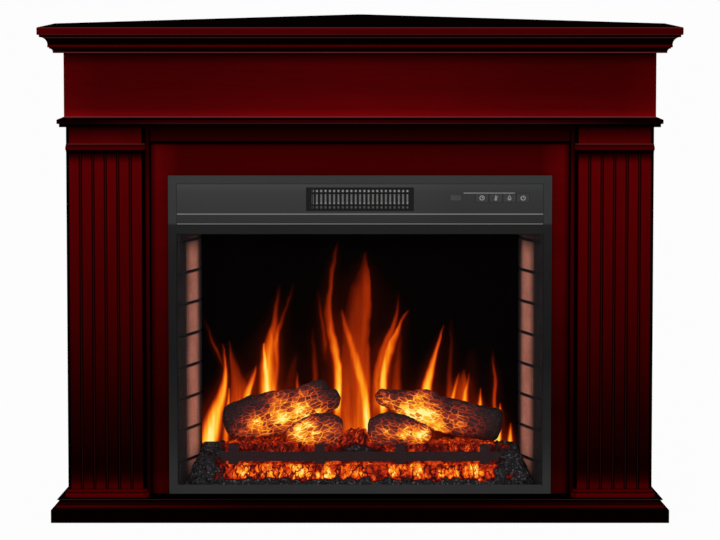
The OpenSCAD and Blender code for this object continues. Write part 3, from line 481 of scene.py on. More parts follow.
def brick():
    """Salmon brick panels, black in their joints, with a band of painted light up their middle and painted
    shade towards the glass and the flame screen.
    """
    f = Finish("brick")
    place = f.place()
    _, depth, height = f.axes(place)
    low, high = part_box("brick_right")
    course = 59.0 * MM
    joint = ((height - low.z) / course).reckon("FRACT").band(0.87, 0.92, 0.985, 1.0)
    # painted light in a band across the middle of each panel's depth and height
    lit = (depth.band(low.y + 24 * MM, low.y + 58 * MM, high.y - 30 * MM, high.y - 6 * MM)
           * height.band(low.z + 6 * MM, low.z + 80 * MM, 480 * MM, 527 * MM))
    grit = f.noise(place, 260.0, 5.0, 0.7)
    cloud = f.noise(place, 26.0)
    clay = f.mix((0.6 * grit + 0.4 * cloud).between(0.3, 0.7), (0.30, 0.104, 0.073), (0.52, 0.200, 0.143))
    # painted shade: the dark colour outside the lit band
    painted_shade = f.mix(cloud, (0.010, 0.010, 0.012), (0.024, 0.023, 0.026))
    colour = f.mix((lit * 0.95 + 0.02) * (1 - joint), painted_shade, clay)
    # painted light: the band glows, standing in for the lamps of the ember bed lighting the bricks from below
    painted_glow = f.mix(lit * (1 - joint), grey(0.0), clay)
    return f.coated(
        Base_Color=colour, Roughness=0.75 + 0.15 * grit, Specular_IOR_Level=0.15,
        Emission_Color=painted_glow, Emission_Strength=0.44, Normal=f.bump(grit, 0.0008, 0.6))


FLAME_COLOURS = [
    (0.0, (0.0, 0.0, 0.0)), (0.10, (0.012, 0.001, 0.0)), (0.24, (0.075, 0.004, 0.0)),
    (0.38, (0.235, 0.015, 0.001)), (0.52, (0.48, 0.038, 0.002)), (0.66, (0.82, 0.125, 0.004)),
    (0.80, (1.0, 0.33, 0.010)), (0.92, (1.0, 0.60, 0.05)), (1.0, (1.0, 0.82, 0.24)),
]
LOG_COLOURS = [
    (0.0, (0.0, 0.0, 0.0)), (0.12, (0.014, 0.001, 0.001)), (0.26, (0.085, 0.006, 0.003)),
    (0.40, (0.280, 0.021, 0.005)), (0.54, (0.62, 0.078, 0.007)), (0.68, (0.95, 0.215, 0.010)),
    (0.82, (1.0, 0.45, 0.016)), (0.93, (1.0, 0.70, 0.06)), (1.0, (1.0, 0.92, 0.28)),
]
EMBER_COLOURS = [
    (0.0, (0.0, 0.0, 0.0)), (0.14, (0.022, 0.001, 0.001)), (0.30, (0.190, 0.006, 0.002)),
    (0.48, (0.66, 0.040, 0.003)), (0.64, (1.0, 0.165, 0.006)), (0.80, (1.0, 0.43, 0.020)),
    (0.92, (1.0, 0.72, 0.09)), (1.0, (1.0, 0.92, 0.36)),
]


def flame_picture():
    """The flames that the rod throws on the screen: fine upright streaks over the stored heat."""
    f = Finish("flame_screen")
    streaks = f.noise(f.stretched(f.shifted(f.place(), 14.0, 0.02), (1.0, 1.0, 0.10)), 190.0, 3.0)
    heat = f.stored("blaze") * (0.90 + 0.20 * streaks)
    return f.coated(
        Base_Color=(0.002, 0.001, 0.001), Roughness=0.85, Specular_IOR_Level=0.0,
        Emission_Color=f.ramp(heat.clipped(), FLAME_COLOURS), Emission_Strength=1.05)


def log_bark():
    """Charred plates along the log with fire in the cracks between them, and plates that glow through,
    streaked along the log, where it is hottest."""
    f = Finish("log_bark")
    plate, chip = 9.0 * MM, 4.2 * MM
    # the logs rise towards the middle
    lean = f.node("ShaderNodeCombineXYZ", None, [0.0, 0.0, 0.28 * f.axes(f.place())[0].reckon("ABSOLUTE")])
    leaning = f.vector("ADD", f.place(), lean)
    place = f.stretched(f.shifted(leaning, 70.0, 0.006), (0.62, 1.0, 1.15))
    plates = f.cracks(place, plate)
    chips = f.cracks(place, chip)
    grit = f.noise(place, 420.0, 5.0, 0.65)
    streak = f.wrinkles(f.stretched(f.shifted(leaning, 30.0, 0.010), (0.16, 1.0, 1.0)), 75.0, 0.55, 0.035)
    glow = f.stored("glow")
    open_here = f.noise(place, 85.0, 2.0).between(0.30, 0.62)
    crack = (plates.between(0.115, 0.03) + 0.30 * chips.between(0.08, 0.015)) * (0.50 + 0.60 * open_here)
    inside = 0.90 * glow ** 1.40 * (0.52 + 0.84 * f.cells(place, plate))
    open_crack = 1.08 * glow ** 0.80
    heat = (inside + (open_crack - inside) * crack.clipped() + (0.34 * glow ** 1.6) * streak
            + 0.34 * glow * (grit - 0.5))
    ash = f.mix((grit + 0.3 * plates).between(0.35, 0.85) * (1 - glow).clipped(), (0.006, 0.003, 0.003),
                (0.040, 0.031, 0.034))
    return f.coated(
        Base_Color=ash, Roughness=0.60 + 0.25 * grit, Specular_IOR_Level=0.2,
        Emission_Color=f.ramp(heat.clipped(), LOG_COLOURS), Emission_Strength=1.0,
        Normal=f.bump(plates.between(0.0, 0.16) + 0.5 * grit, 0.0012, 0.8))


def ember_crust():
    """Wrinkled resin lit from behind: bright in its thin lumps and dark in its folds in the front strip, and
    dull red with bright folds on the ledge, with glossy broken coal where nothing glows."""
    f = Finish("ember_crust")
    crumb = 4.6 * MM
    place = f.shifted(f.place(), 70.0, 0.007)
    upright = f.stretched(place, (1.0, 1.0, 0.58))
    lumps = f.noise(upright, 62.0, 3.0, 0.6).between(0.34, 0.66)
    folds = f.wrinkles(upright, 50.0, 0.5, 0.045)
    creases = f.wrinkles(f.stretched(place, (1.15, 1.0, 0.7)), 105.0, 0.5, 0.045)
    grit = f.noise(place, 420.0, 5.0, 0.65)
    glow, strip = f.stored("glow"), f.stored("strip")
    lit = glow * (0.52 + 0.64 * lumps) * (1 - 0.72 * folds) * (1 - 0.50 * creases)
    dull = glow * (0.30 + 0.50 * lumps) * (1 - 0.40 * folds) + 0.50 * glow * creases
    heat = strip * lit + (1 - strip) * dull + 0.22 * glow * (grit - 0.5)
    embers = f.shader(Base_Color=f.mix(grit, (0.010, 0.002, 0.002), (0.030, 0.006, 0.005)),
                      Roughness=0.55 + 0.25 * grit, Specular_IOR_Level=0.05,
                      Emission_Color=f.ramp(heat.clipped(), EMBER_COLOURS), Emission_Strength=1.0,
                      Normal=f.bump(grit - 0.6 * folds - 0.4 * creases, 0.0014, 0.9))
    # painted shade: the coal is darker in the crevices between its chunks
    chunks = f.cracks(place, crumb).between(0.02, 0.22)
    speck = f.cells(place, crumb).between(0.50, 0.74)
    coal = f.shader(Base_Color=f.mix(chunks * (0.10 + 0.90 * speck) * grit.between(0.2, 0.7),
                                     (0.009, 0.006, 0.008), (0.270, 0.245, 0.285)),
                    Roughness=0.24 + 0.40 * grit, Specular_IOR_Level=0.35,
                    Normal=f.bump(chunks + 0.6 * grit, 0.0030, 1.0))
    return f.done(f.node("ShaderNodeMixShader", None, [glow.between(0.02, 0.14), coal, embers]))


def circuit():
    f = Finish("circuit")
    tracks = f.noise(f.stretched(f.place(), (1.0, 1.0, 0.2)), 260.0, 1.0)
    return f.coated(
        Base_Color=f.mix(tracks.between(0.48, 0.54), (0.010, 0.060, 0.022), (0.03, 0.14, 0.05)),
        Roughness=0.35 + 0.2 * tracks)


def legend(name, tone, strength):
    """Pale printing on the keys, also used for the painted highlight along the key row, and the dim segments
    of the display.
    """
    return speckled(name, 2500.0, grey(tone), grey(1.2 * tone), (0.4, 0.1), 1.0,
                    Emission_Color=grey(1.0), Emission_Strength=strength)


# ---------- dressing the solid pieces ----------

# The surround's finishes and their boards. Stops are (height or distance in millimetres, share of full red)
# and paint light and shade, and painted highlight lines along edges are (height, strength).
CORNICE = [(868.5, 0.02), (878, 0.015), (880, 0.03), (881, 0.26), (883, 0.26), (885, 0.004), (902.5, 0.002)]
CORNICE_HIGHLIGHTS = [(897.5, 0.6), (869.6, 0.8)]
LEDGE = [(732, 0.003), (737, 0.01), (740, 0.08), (749, 0.08)]
LEDGE_SPREAD = [(0, 1.0), (330, 0.9), (440, 0.4), (500, 0.1), (560, 0.1)]
PLINTH = [(0, 0.01), (12, 0.002), (24, 0.003), (25.5, 0.04)]
WOOD = {
    mahogany("shelf", ALONG_X, [(902.5, 0.16), (905, 0.19), (916.5, 0.23)], [(915.7, 0.5), (902.9, 0.3)]):
        ["mantel_shelf"],
    mahogany("cornice", ALONG_X, CORNICE, CORNICE_HIGHLIGHTS): ["cornice_front"],
    mahogany("cornice_returns", ALONG_Y, CORNICE, CORNICE_HIGHLIGHTS): pair("cornice"),
    mahogany("frieze", ALONG_X, [(749, 0.75), (755, 0.54), (766, 0.29), (800, 0.21), (845, 0.17),
                                 (868.5, 0.01)],
             [(750.6, 1.0)], [(0, 1.3), (150, 1.2), (330, 1.0), (480, 1.0), (544, 1.35)]): ["frieze_board"],
    mahogany("ledge", ALONG_X, LEDGE, [(739.6, 0.25)], LEDGE_SPREAD): ["ledge_front"],
    mahogany("ledge_returns", ALONG_Y, LEDGE, spread=LEDGE_SPREAD): pair("ledge"),
    mahogany("lintel", ALONG_X, [(700, 0.0), (702.5, 0.0), (704.5, 0.08), (715, 0.05), (732, 0.006)],
             sides=0.1): ["lintel"],
    mahogany("panel", ALONG_X, [(43, 0.26), (60, 0.20), (90, 0.10), (204, 0.09), (355, 0.21), (507, 0.36),
                                (660, 0.46), (682, 0.40), (694, 0.28), (698, 0.0)],
             spread=[(0, 0.44), (335, 0.46), (377, 1.05), (388, 0.2)]): ["front_panel"],
    mahogany("jambs", ALONG_Z, [(43, 0.10), (90, 0.05), (213, 0.06), (403, 0.20), (600, 0.26), (732, 0.02)],
             sides=0.02): pair("jamb"),
    # the pilasters' stops paint a shadow under the capitals, from 678 to 698 mm
    mahogany("pilasters", ALONG_Z, [(43, 0.28), (64, 0.28), (74, 0.10), (88, 0.03), (110, 0.02), (213, 0.065),
                                    (403, 0.23), (573, 0.36), (664, 0.40), (678, 0.05), (698, 0.05),
                                    (700, 0.36), (716, 0.18), (732, 0.01)], sides=0.02): pair("pilaster"),
    mahogany("capitals", ALONG_X, [(681.5, 0.003), (688, 0.01), (692, 0.24), (694, 0.28), (700.5, 0.14)],
             [(700.0, 0.9)]): pair("capital"),
    mahogany("feet", ALONG_X, [(43, 0.46), (49, 0.46), (51, 0.34), (52.3, 0.08), (53.6, 0.30), (57, 0.30),
                               (58, 0.10)]): pair("pilaster_foot"),
    mahogany("hearth", ALONG_X, [(25.5, 0.10), (27, 0.26), (31, 0.24), (35, 0.07), (38, 0.01), (43, 0.01)],
             [(42.0, 0.35)], [(0, 0.35), (200, 0.35), (480, 1.0), (560, 1.0)]): ["hearth_board"],
    mahogany("plinth", ALONG_X, PLINTH): ["plinth_front"],
    mahogany("plinth_returns", ALONG_Y, PLINTH): pair("plinth"),
    mahogany("sides", ALONG_Z, [(43, 0.04), (300, 0.07), (600, 0.11), (732, 0.03), (749, 0.55), (766, 0.28),
                                (800, 0.22), (850, 0.16), (868.5, 0.01)]): pair("side_panel"),
}

enamel = black_enamel("black_enamel", even(0.35))
# painted light and shade: pale at the foot and above the control panel's lower edge, dark down the sides of
# the window
trim_enamel = black_enamel("trim_enamel", [(43, 0.90), (60, 0.78), (90, 0.60), (150, 0.27), (300, 0.08),
                                           (480, 0.14), (547, 0.21), (550, 0.74), (639, 0.80)])
key_plastic = speckled("key_plastic", 1500.0, (0.048, 0.048, 0.049), (0.064, 0.064, 0.065), (0.35, 0.15), 2.0,
                       (0.00005, 0.2), Specular_IOR_Level=0.1)
display_black = speckled("display", 300.0, (0.012, 0.013, 0.014), (0.022, 0.023, 0.024), (0.12, 0.1), 2.0,
                         Specular_IOR_Level=0.3)
# painted light: a faint red glow on the grate stands in for the embers lighting it
iron = speckled("iron", 340.0, (0.004, 0.003, 0.004), (0.014, 0.012, 0.015), (0.55, 0.25), 4.0, (0.0005, 0.5),
                Specular_IOR_Level=0.15, Emission_Color=(1.0, 0.10, 0.08), Emission_Strength=0.010)
motor_steel = speckled("motor_steel", 120.0, (0.05, 0.05, 0.055), (0.12, 0.12, 0.125), (0.35, 0.2),
                       Metallic=0.8)
blower_plastic = speckled("blower_plastic", 500.0, grey(0.03), grey(0.05), (0.5, 0.15), 2.0)

DRESSING = {
    **WOOD,
    raw_timber(): ["wall_rails"],
    zinc_steel(): ["steel_brackets", "fixing_screws", "heating_element", "thermal_cutout", "flame_rod"],
    trim_enamel: ["trim_frame"],
    black_enamel("grille_enamel", even(0.12)): ["heater_grille"],
    enamel: ["case_wrap", "case_floor", "case_back", "firebox_ceiling"],
    grey_panel(): ["control_panel"],
    key_plastic: [*KEYS, "cable_gland"],
    display_black: ["display_window"],
    clear_glass(): ["glass_pane"],
    brick(): pair("brick"),
    iron: ["grate"],
    circuit(): ["key_board", "led_strip", "power_board"],
    motor_steel: ["flame_motor", "blower_motor", "blower_rotor"],
    blower_plastic: ["blower_housing"],
}
for finish, names in DRESSING.items():
    for name in names:
        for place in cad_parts[name].material_slots:
            place.material = finish

# A lacquered or painted edge is never knife sharp
EASED = {0.9 * MM: ["mantel_shelf", "frieze_board", "hearth_board", "plinth_front", "ledge_front",
                    *pair("plinth"), *pair("ledge")],
         0.5 * MM: ["cornice_front", "lintel", *pair("cornice"), *pair("jamb"), *pair("pilaster"),
                    *pair("capital"), *pair("pilaster_foot")],
         0.35 * MM: ["trim_frame", "grate", *KEYS]}
for width, names in EASED.items():
    for name in names:
        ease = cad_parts[name].modifiers.new("eased_edges", "BEVEL")
        ease.width = width
        ease.segments = 2
        ease.limit_method = "ANGLE"
        ease.angle_limit = math.radians(30)
        ease.harden_normals = True


# ---------- flames ----------

# Each flame: where across it is hottest (-1 left to 1 right), how soft its edge is, then from the foot up
# (x, height, half width, heat), in millimetres from the centre line and the floor
FLAMES = [
    (0.3, 0.7, [(-296, 100, 26, 0.98), (-286, 140, 25, 0.97), (-276, 178, 19, 0.93), (-263, 215, 12, 0.84),
        (-256, 250, 6, 0.70), (-256, 286, 3, 0.50), (-259, 312, 1, 0.30)]),
    (0.0, 0.9, [(-258, 262, 2, 0.10), (-268, 292, 4, 0.32), (-280, 320, 4, 0.26), (-291, 348, 2, 0.15),
        (-297, 362, 1, 0.05)]),
    (0.2, 0.7, [(-256, 120, 7, 0.55), (-253, 160, 6, 0.62), (-250, 198, 4, 0.55), (-248, 226, 1, 0.35)]),
    (-0.6, 0.5, [(-226, 180, 21, 0.46), (-228, 228, 18, 0.40), (-236, 262, 10, 0.36), (-244, 296, 4, 0.30),
        (-247, 316, 1, 0.16)]),
    (0.3, 0.8, [(-218, 180, 9, 0.80), (-214, 216, 9, 0.74), (-207, 240, 7, 0.62), (-200, 258, 4, 0.50),
        (-196, 270, 1, 0.30)]),
    (0.1, 0.6, [(-176, 180, 20, 0.80), (-176, 226, 18, 0.77), (-175, 270, 18, 0.70), (-170, 312, 15, 0.58),
        (-164, 346, 10, 0.44), (-160, 376, 6, 0.32), (-158, 404, 3, 0.20), (-157, 424, 1, 0.08)]),
    (0.0, 0.8, [(-174, 180, 10, 0.95), (-177, 232, 6, 0.92), (-180, 276, 4, 0.80), (-182, 312, 2, 0.45)]),
    (0.0, 0.9, [(-158, 312, 6, 0.34), (-150, 346, 7, 0.30), (-140, 380, 5, 0.24), (-132, 408, 3, 0.15),
        (-127, 428, 1, 0.06)]),
    (0.2, 0.8, [(-162, 220, 6, 0.48), (-157, 272, 7, 0.46), (-155, 320, 5, 0.36), (-154, 350, 1, 0.15)]),
    (0.0, 0.9, [(-84, 196, 11, 0.34), (-86, 250, 9, 0.28), (-88, 296, 7, 0.20), (-94, 340, 3, 0.08)]),
    (0.0, 0.8, [(-118, 196, 5, 0.60), (-118, 226, 4, 0.56), (-119, 246, 2, 0.42), (-120, 260, 1, 0.2)]),
    (0.0, 1.2, [(-134, 230, 14, 0.18), (-126, 270, 10, 0.14), (-120, 300, 2, 0.04)]),
    (0.3, 0.6, [(-44, 190, 9, 0.94), (-42, 240, 9, 0.88), (-44, 274, 9, 0.78), (-50, 306, 9, 0.66),
        (-57, 338, 10, 0.52), (-61, 372, 9, 0.42), (-60, 404, 7, 0.38), (-55, 436, 6, 0.34),
        (-49, 466, 4, 0.28), (-44, 492, 2, 0.16), (-42, 506, 1, 0.06)]),
    (0.0, 1.0, [(-66, 310, 6, 0.26), (-73, 352, 5, 0.24), (-79, 392, 3, 0.16), (-81, 412, 1, 0.06)]),
    (0.72, 0.45, [(-12, 150, 33, 0.36), (-11, 220, 32, 0.34), (-10, 290, 30, 0.38), (-10, 330, 29, 0.42),
        (-7, 372, 27, 0.42), (-2, 412, 22, 0.39), (3, 442, 14, 0.32), (8, 466, 7, 0.22),
        (11, 486, 2, 0.10)]),
    (0.0, 0.7, [(15, 140, 10, 0.97), (12, 186, 9, 0.86), (7, 226, 9, 0.64), (-4, 266, 10, 0.50),
        (-16, 304, 10, 0.46), (-27, 336, 8, 0.42), (-34, 362, 4, 0.32), (-37, 378, 1, 0.15)]),
    (-0.4, 0.6, [(46, 190, 9, 1.0), (45, 236, 8, 0.94), (50, 272, 9, 0.78), (58, 306, 9, 0.66),
        (69, 336, 7, 0.56), (81, 360, 4, 0.44), (91, 376, 1, 0.25)]),
    (-0.2, 0.7, [(36, 196, 14, 0.50), (36, 246, 13, 0.50), (43, 290, 11, 0.48), (54, 328, 8, 0.42),
        (64, 360, 5, 0.34), (70, 388, 3, 0.20), (73, 408, 1, 0.08)]),
    (0.0, 1.0, [(68, 200, 14, 0.42), (69, 250, 11, 0.30), (72, 300, 6, 0.14), (74, 330, 1, 0.04)]),
    (0.2, 0.6, [(122, 192, 14, 0.96), (126, 230, 12, 0.86), (133, 262, 9, 0.76), (142, 292, 6, 0.68),
        (151, 318, 4, 0.54), (157, 338, 2, 0.38), (160, 350, 1, 0.15)]),
    (0.0, 1.0, [(168, 190, 11, 0.30), (170, 256, 8, 0.26), (173, 316, 5, 0.16), (176, 360, 2, 0.05)]),
    (0.5, 0.6, [(190, 170, 17, 0.46), (191, 214, 15, 0.42), (193, 244, 8, 0.34), (196, 264, 1, 0.12)]),
    (0.0, 0.8, [(172, 176, 5, 0.74), (177, 210, 5, 0.66), (184, 240, 3, 0.44), (188, 256, 1, 0.2)]),
    (0.0, 0.8, [(196, 168, 6, 0.74), (198, 206, 5, 0.64), (203, 238, 3, 0.42), (206, 254, 1, 0.2)]),
    (0.0, 1.0, [(206, 150, 40, 0.16), (208, 230, 26, 0.10), (212, 300, 10, 0.03)]),
    (0.1, 0.7, [(226, 150, 13, 1.0), (227, 182, 8, 0.90), (228, 206, 4, 0.68), (229, 226, 1, 0.35)]),
    (0.0, 0.8, [(257, 156, 5, 0.66), (255, 200, 5, 0.56), (256, 236, 4, 0.48), (253, 270, 3, 0.34),
        (250, 304, 1, 0.12)]),
    (0.1, 0.7, [(262, 146, 8, 0.98), (265, 176, 5, 0.86), (267, 198, 1, 0.5)]),
    (0.0, 0.7, [(284, 96, 9, 0.95), (285, 126, 7, 0.85), (286, 150, 3, 0.6), (287, 162, 1, 0.3)]),
    (0.0, 1.3, [(-150, 120, 66, 0.34), (-150, 190, 50, 0.18), (-150, 240, 20, 0.02)]),
    (0.0, 1.3, [(-14, 120, 60, 0.52), (-14, 190, 48, 0.30), (-14, 270, 40, 0.12), (-14, 330, 30, 0.02)]),
    (0.0, 1.3, [(120, 120, 66, 0.34), (120, 190, 50, 0.16), (120, 240, 20, 0.02)]),
]


BED_TOP = 117             # height in millimetres from which the screen shows over the ember bed
BEHIND_A_LOG = 165        # a flame whose foot is as high as this rises behind a log


def smooth_path(points):
    """A smooth curve through rows of numbers, with twelve steps from one to the next."""
    rows = np.array(points, float)
    ends = np.vstack([2 * rows[0] - rows[1], rows, 2 * rows[-1] - rows[-2]])
    t = np.linspace(0, 1, 12, endpoint=False)[:, None]
    pieces = [0.5 * (2 * b + (c - a) * t + (2 * a - 5 * b + 4 * c - d) * t ** 2
                     + (3 * b - a - 3 * c + d) * t ** 3)
              for a, b, c, d in zip(ends, ends[1:], ends[2:], ends[3:])]
    return np.vstack([*pieces, rows[-1:]])


def flame_heat(x, z):
    """Heat of the flame picture at places in millimetres: 0 is dark and 1 is a flame's yellow heart."""
    flat = np.stack([x, np.zeros_like(x), z], axis=1)
    sway = (8.0 * (soft_noise(flat * (1, 1, 0.5), 30.0, 3) - 0.5)
            + 3.2 * (soft_noise(flat * (1, 1, 0.6), 10.0, 5) - 0.5))
    bent = x + sway * np.clip((z - 170) / 160, 0.15, 1.0)
    cold = np.ones_like(x)
    for hottest, softness, spine in FLAMES:
        path = smooth_path(spine)
        centre, half, heat = (np.interp(z, path[:, 1], path[:, k]) for k in (0, 2, 3))
        heat = np.where(z > path[-1, 1], 0, held(heat))
        if path[0, 1] >= BEHIND_A_LOG:
            heat = heat * held((z - path[0, 1]) / 40 + 1)
        off = (bent - centre) / np.maximum(half, 0.4)
        away = np.where(off > hottest, (off - hottest) / (1 - hottest), (hottest - off) / (1 + hottest))
        body = np.clip(1 - away * away, 0, None) ** (1.4 * softness)
        haze = 0.24 * np.exp(-(off / 2.1) ** 2)
        cold *= 1 - heat * np.maximum(body, haze)
    strands = 0.6 * soft_noise(flat * (1, 1, 0.07), 8.0, 9) + 0.4 * soft_noise(flat * (1, 1, 0.10), 3.5, 13)
    return (1 - cold) * (0.84 + 0.32 * strands) * held((z - BED_TOP) / 6)


def make_flame_screen():
    low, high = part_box("flame_screen")
    columns, rows = (round(size / (2.2 * MM)) + 1 for size in (high.x - low.x, high.z - low.z))
    x, z = (a.ravel() for a in np.meshgrid(np.linspace(low.x, high.x, columns),
                                           np.linspace(low.z, high.z, rows)))
    face = np.stack([x, np.full_like(x, low.y), z], axis=1)
    rim = grid_rim(rows, columns)
    back = range(len(face), len(face) + len(rim))
    piece("flame_picture", np.concatenate([face, face[rim] + (0, high.y - low.y, 0)]),
          grid_faces(rows, columns) + walls(rim, back) + [tuple(reversed(back))], flame_picture(),
          "flame_screen", replaces=["flame_screen"], blaze=np.pad(flame_heat(x / MM, z / MM), (0, len(rim))))


make_flame_screen()


# ---------- logs ----------

def tube(spine, flat, seed):
    """A rough length of branch along a spine of (x, y, z, radius), with its broken ends closed in."""
    sides, step, bend = 84, 2.2 * MM, 7           # bend is the number of rings to each side that ease a bend
    rows = np.array(spine, float)
    run = np.concatenate([[0], np.cumsum(np.linalg.norm(np.diff(rows[:, :3], axis=0), axis=1))])
    count = int(run[-1] / step)
    rows = np.stack([np.interp(np.linspace(0, run[-1], count), run, column) for column in rows.T], axis=1)
    kernel = np.hanning(2 * bend + 1) / np.hanning(2 * bend + 1).sum()
    rows = np.stack([np.convolve(np.pad(c, bend, mode="edge"), kernel, "valid") for c in rows.T], axis=1)
    lean = unit(np.gradient(rows[:, :3], axis=0))
    up = np.stack([-lean[:, 2], np.zeros(count), lean[:, 0]], axis=1)
    up *= np.sign(up[:, 2])[:, None]
    # the last rings close in to a blunt, broken end
    closing = [1.0, 0.9, 0.8, 0.52, 0.25, 0.04]
    inner = np.ones(count)
    inner[-len(closing):] = closing
    inner[:len(closing)] = closing[::-1]
    turn = np.linspace(0, 2 * math.pi, sides, endpoint=False)[:, None]
    out = np.cos(turn) * (0, flat, 0) + np.sin(turn) * up[:, None, :]
    points = (rows[:, None, :3] + (rows[:, 3] * inner)[:, None, None] * out).reshape(-1, 3)
    near, second, _ = lump_noise(points * (1, 1, 1.3), 11 * MM, seed)
    plates = held((second - near) / 0.30)
    knots = soft_noise(points, 26 * MM, seed + 7) - 0.5
    rough = soft_noise(points, 3.5 * MM, seed + 11) - 0.5
    depth = 6.5 * knots + 1.5 * plates - 1.5 + 1.1 * rough
    points = points + unit(out.reshape(-1, 3)) * (depth * MM * np.repeat(inner, sides))[:, None]
    return points, grid_faces(count, sides, closed=True)


bark = log_bark()


def make_log(name, node, branches, flat, hot, seed):
    """A log of one or more branches. hot lists (x, z, reach, glow) of the places where it glows through."""
    points, faces = joined(tube(spine, flat, seed + 31 * number) for number, spine in enumerate(branches))
    points = np.array(points)
    glow = np.zeros(len(points))
    for x, z, reach, strength in hot:
        off = np.hypot(points[:, 0] - x * MM, 1.35 * (points[:, 2] - z * MM)) / (reach * MM)
        glow = np.maximum(glow, strength * np.exp(-off * off))
    patchy = soft_noise(points, 16 * MM, seed + 3)
    depth = np.mean([point[1] for spine in branches for point in spine])
    front = held((depth + 8 * MM - points[:, 1]) / (16 * MM))
    glow = held(glow * (0.72 + 0.5 * patchy)) * (0.25 + 0.75 * front)
    piece(name, points, faces, bark, "log_resin", replaces=[node], glow=glow)


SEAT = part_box("ember_bed")[1].z - 10 * MM      # level top of the ember bed, under the heaped coal
LOG = 34 * MM                                  # radius of the thickest log


def spine(y, *places):
    """A spine from (x in millimetres, height over the seat in millimetres, share of the thickest radius)."""
    return [(x * MM, y, SEAT + z * MM, share * LOG) for x, z, share in places]


back_y, front_y = (sum(corner.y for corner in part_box(log)) / 2 for log in ("log_left", "log_left_front"))
make_log("left_log", "log_left", [
    spine(back_y, (-263, 33, 0.56), (-252, 35, 0.84), (-234, 37, 1.08), (-196, 42, 1.20), (-160, 50, 1.24),
          (-120, 61, 1.14), (-84, 70, 0.94), (-58, 76, 0.68), (-34, 79, 0.52)),
    spine(back_y, (-116, 78, 0.56), (-84, 94, 0.50), (-58, 104, 0.38))], 0.50,
    [(-96, 168, 60, 1.0), (-116, 190, 40, 0.96), (-146, 176, 46, 0.96), (-186, 162, 44, 0.76),
     (-216, 146, 32, 0.46), (-76, 203, 27, 0.62), (-100, 216, 32, 0.52), (-150, 202, 40, 0.60)], 3)
make_log("left_log_in_front", "log_left_front", [
    spine(front_y, (-143, 15, 0.24), (-129, 16, 0.50), (-106, 20, 0.80), (-78, 25, 1.0), (-54, 24, 0.92),
          (-30, 17, 0.58))], 0.46,
    [(-116, 150, 38, 1.0), (-96, 166, 24, 1.0), (-90, 146, 32, 0.86), (-60, 152, 38, 0.64),
     (-40, 146, 28, 0.50)], 17)
make_log("right_log", "log_right", [
    spine(back_y, (272, 24, 0.76), (256, 27, 0.92), (210, 34, 1.0), (170, 44, 1.04), (132, 54, 1.0),
          (98, 64, 0.82), (60, 76, 0.56), (26, 85, 0.38)),
    spine(back_y, (92, 72, 0.46), (116, 80, 0.48), (140, 78, 0.42), (152, 71, 0.28))], 0.50,
    [(92, 188, 44, 0.96), (118, 176, 46, 1.0), (146, 160, 36, 0.74), (44, 208, 36, 0.54),
     (112, 210, 34, 0.72), (180, 168, 44, 0.58), (214, 158, 34, 0.30)], 29)
make_log("right_log_in_front", "log_right_front", [
    spine(front_y, (12, 16, 0.50), (28, 20, 0.78), (50, 24, 0.96), (78, 23, 0.96), (104, 18, 0.70),
          (122, 15, 0.48), (138, 13, 0.24))], 0.46,
    [(114, 148, 34, 0.88), (86, 152, 32, 0.70), (52, 152, 38, 0.60), (24, 146, 24, 0.46)], 43)


# ---------- embers and coal ----------

EMBER_LAMPS = [-212, -160, -112, -62, 0, 60, 111, 162, 214]      # x of the lamps behind the front strip


def ember_glow(points, furrow):
    """Glow of the bed at its points, and 1 where it belongs to the front strip: bright lamps behind the
    strip, dull red on the ledge and the seat, none in the coal. furrow is 0 between two lumps."""
    px, pz = points[:, 0] / MM, points[:, 2] / MM
    lamps = np.max([np.exp(-(((px - lamp) / 20) ** 2 + ((pz - 80) / 15) ** 2)) for lamp in EMBER_LAMPS],
                   axis=0)
    inside = held((264 - 14 * soft_noise(points, 9 * MM, 53) - np.abs(px)) / 6)
    above_fringe = held((pz - 59 - 13 * soft_noise(points, 8 * MM, 41)) / 4)
    strip_glow = (0.56 + 0.52 * lamps) * above_fringe * held((100 - pz) / 6)
    seat_glow = held((pz - 90) / 6) * (0.34 + 0.42 * soft_noise(points, 20 * MM, 31))
    seat_glow += 0.34 * np.exp(-((pz - 107) / 4) ** 2)
    # painted shade at the foot of the heap: the glow fades there to dark coal
    heap_foot_shade = np.exp(-((px + 5) / 46) ** 4) * held((135 - pz - 0.30 * np.abs(px + 5)) / 8)
    seat_glow *= 1 - 0.94 * heap_foot_shade * (pz > 100)
    stray = held((soft_noise(points, 14 * MM, 71) - 0.60) / 0.12) * held((294 - np.abs(px)) / 12)
    glow = np.maximum(strip_glow, seat_glow) * np.maximum(inside, 0.6 * stray * (pz > 66))
    return held(glow * (0.72 + 0.35 * held(furrow / 0.5))), (strip_glow > seat_glow).astype(float)


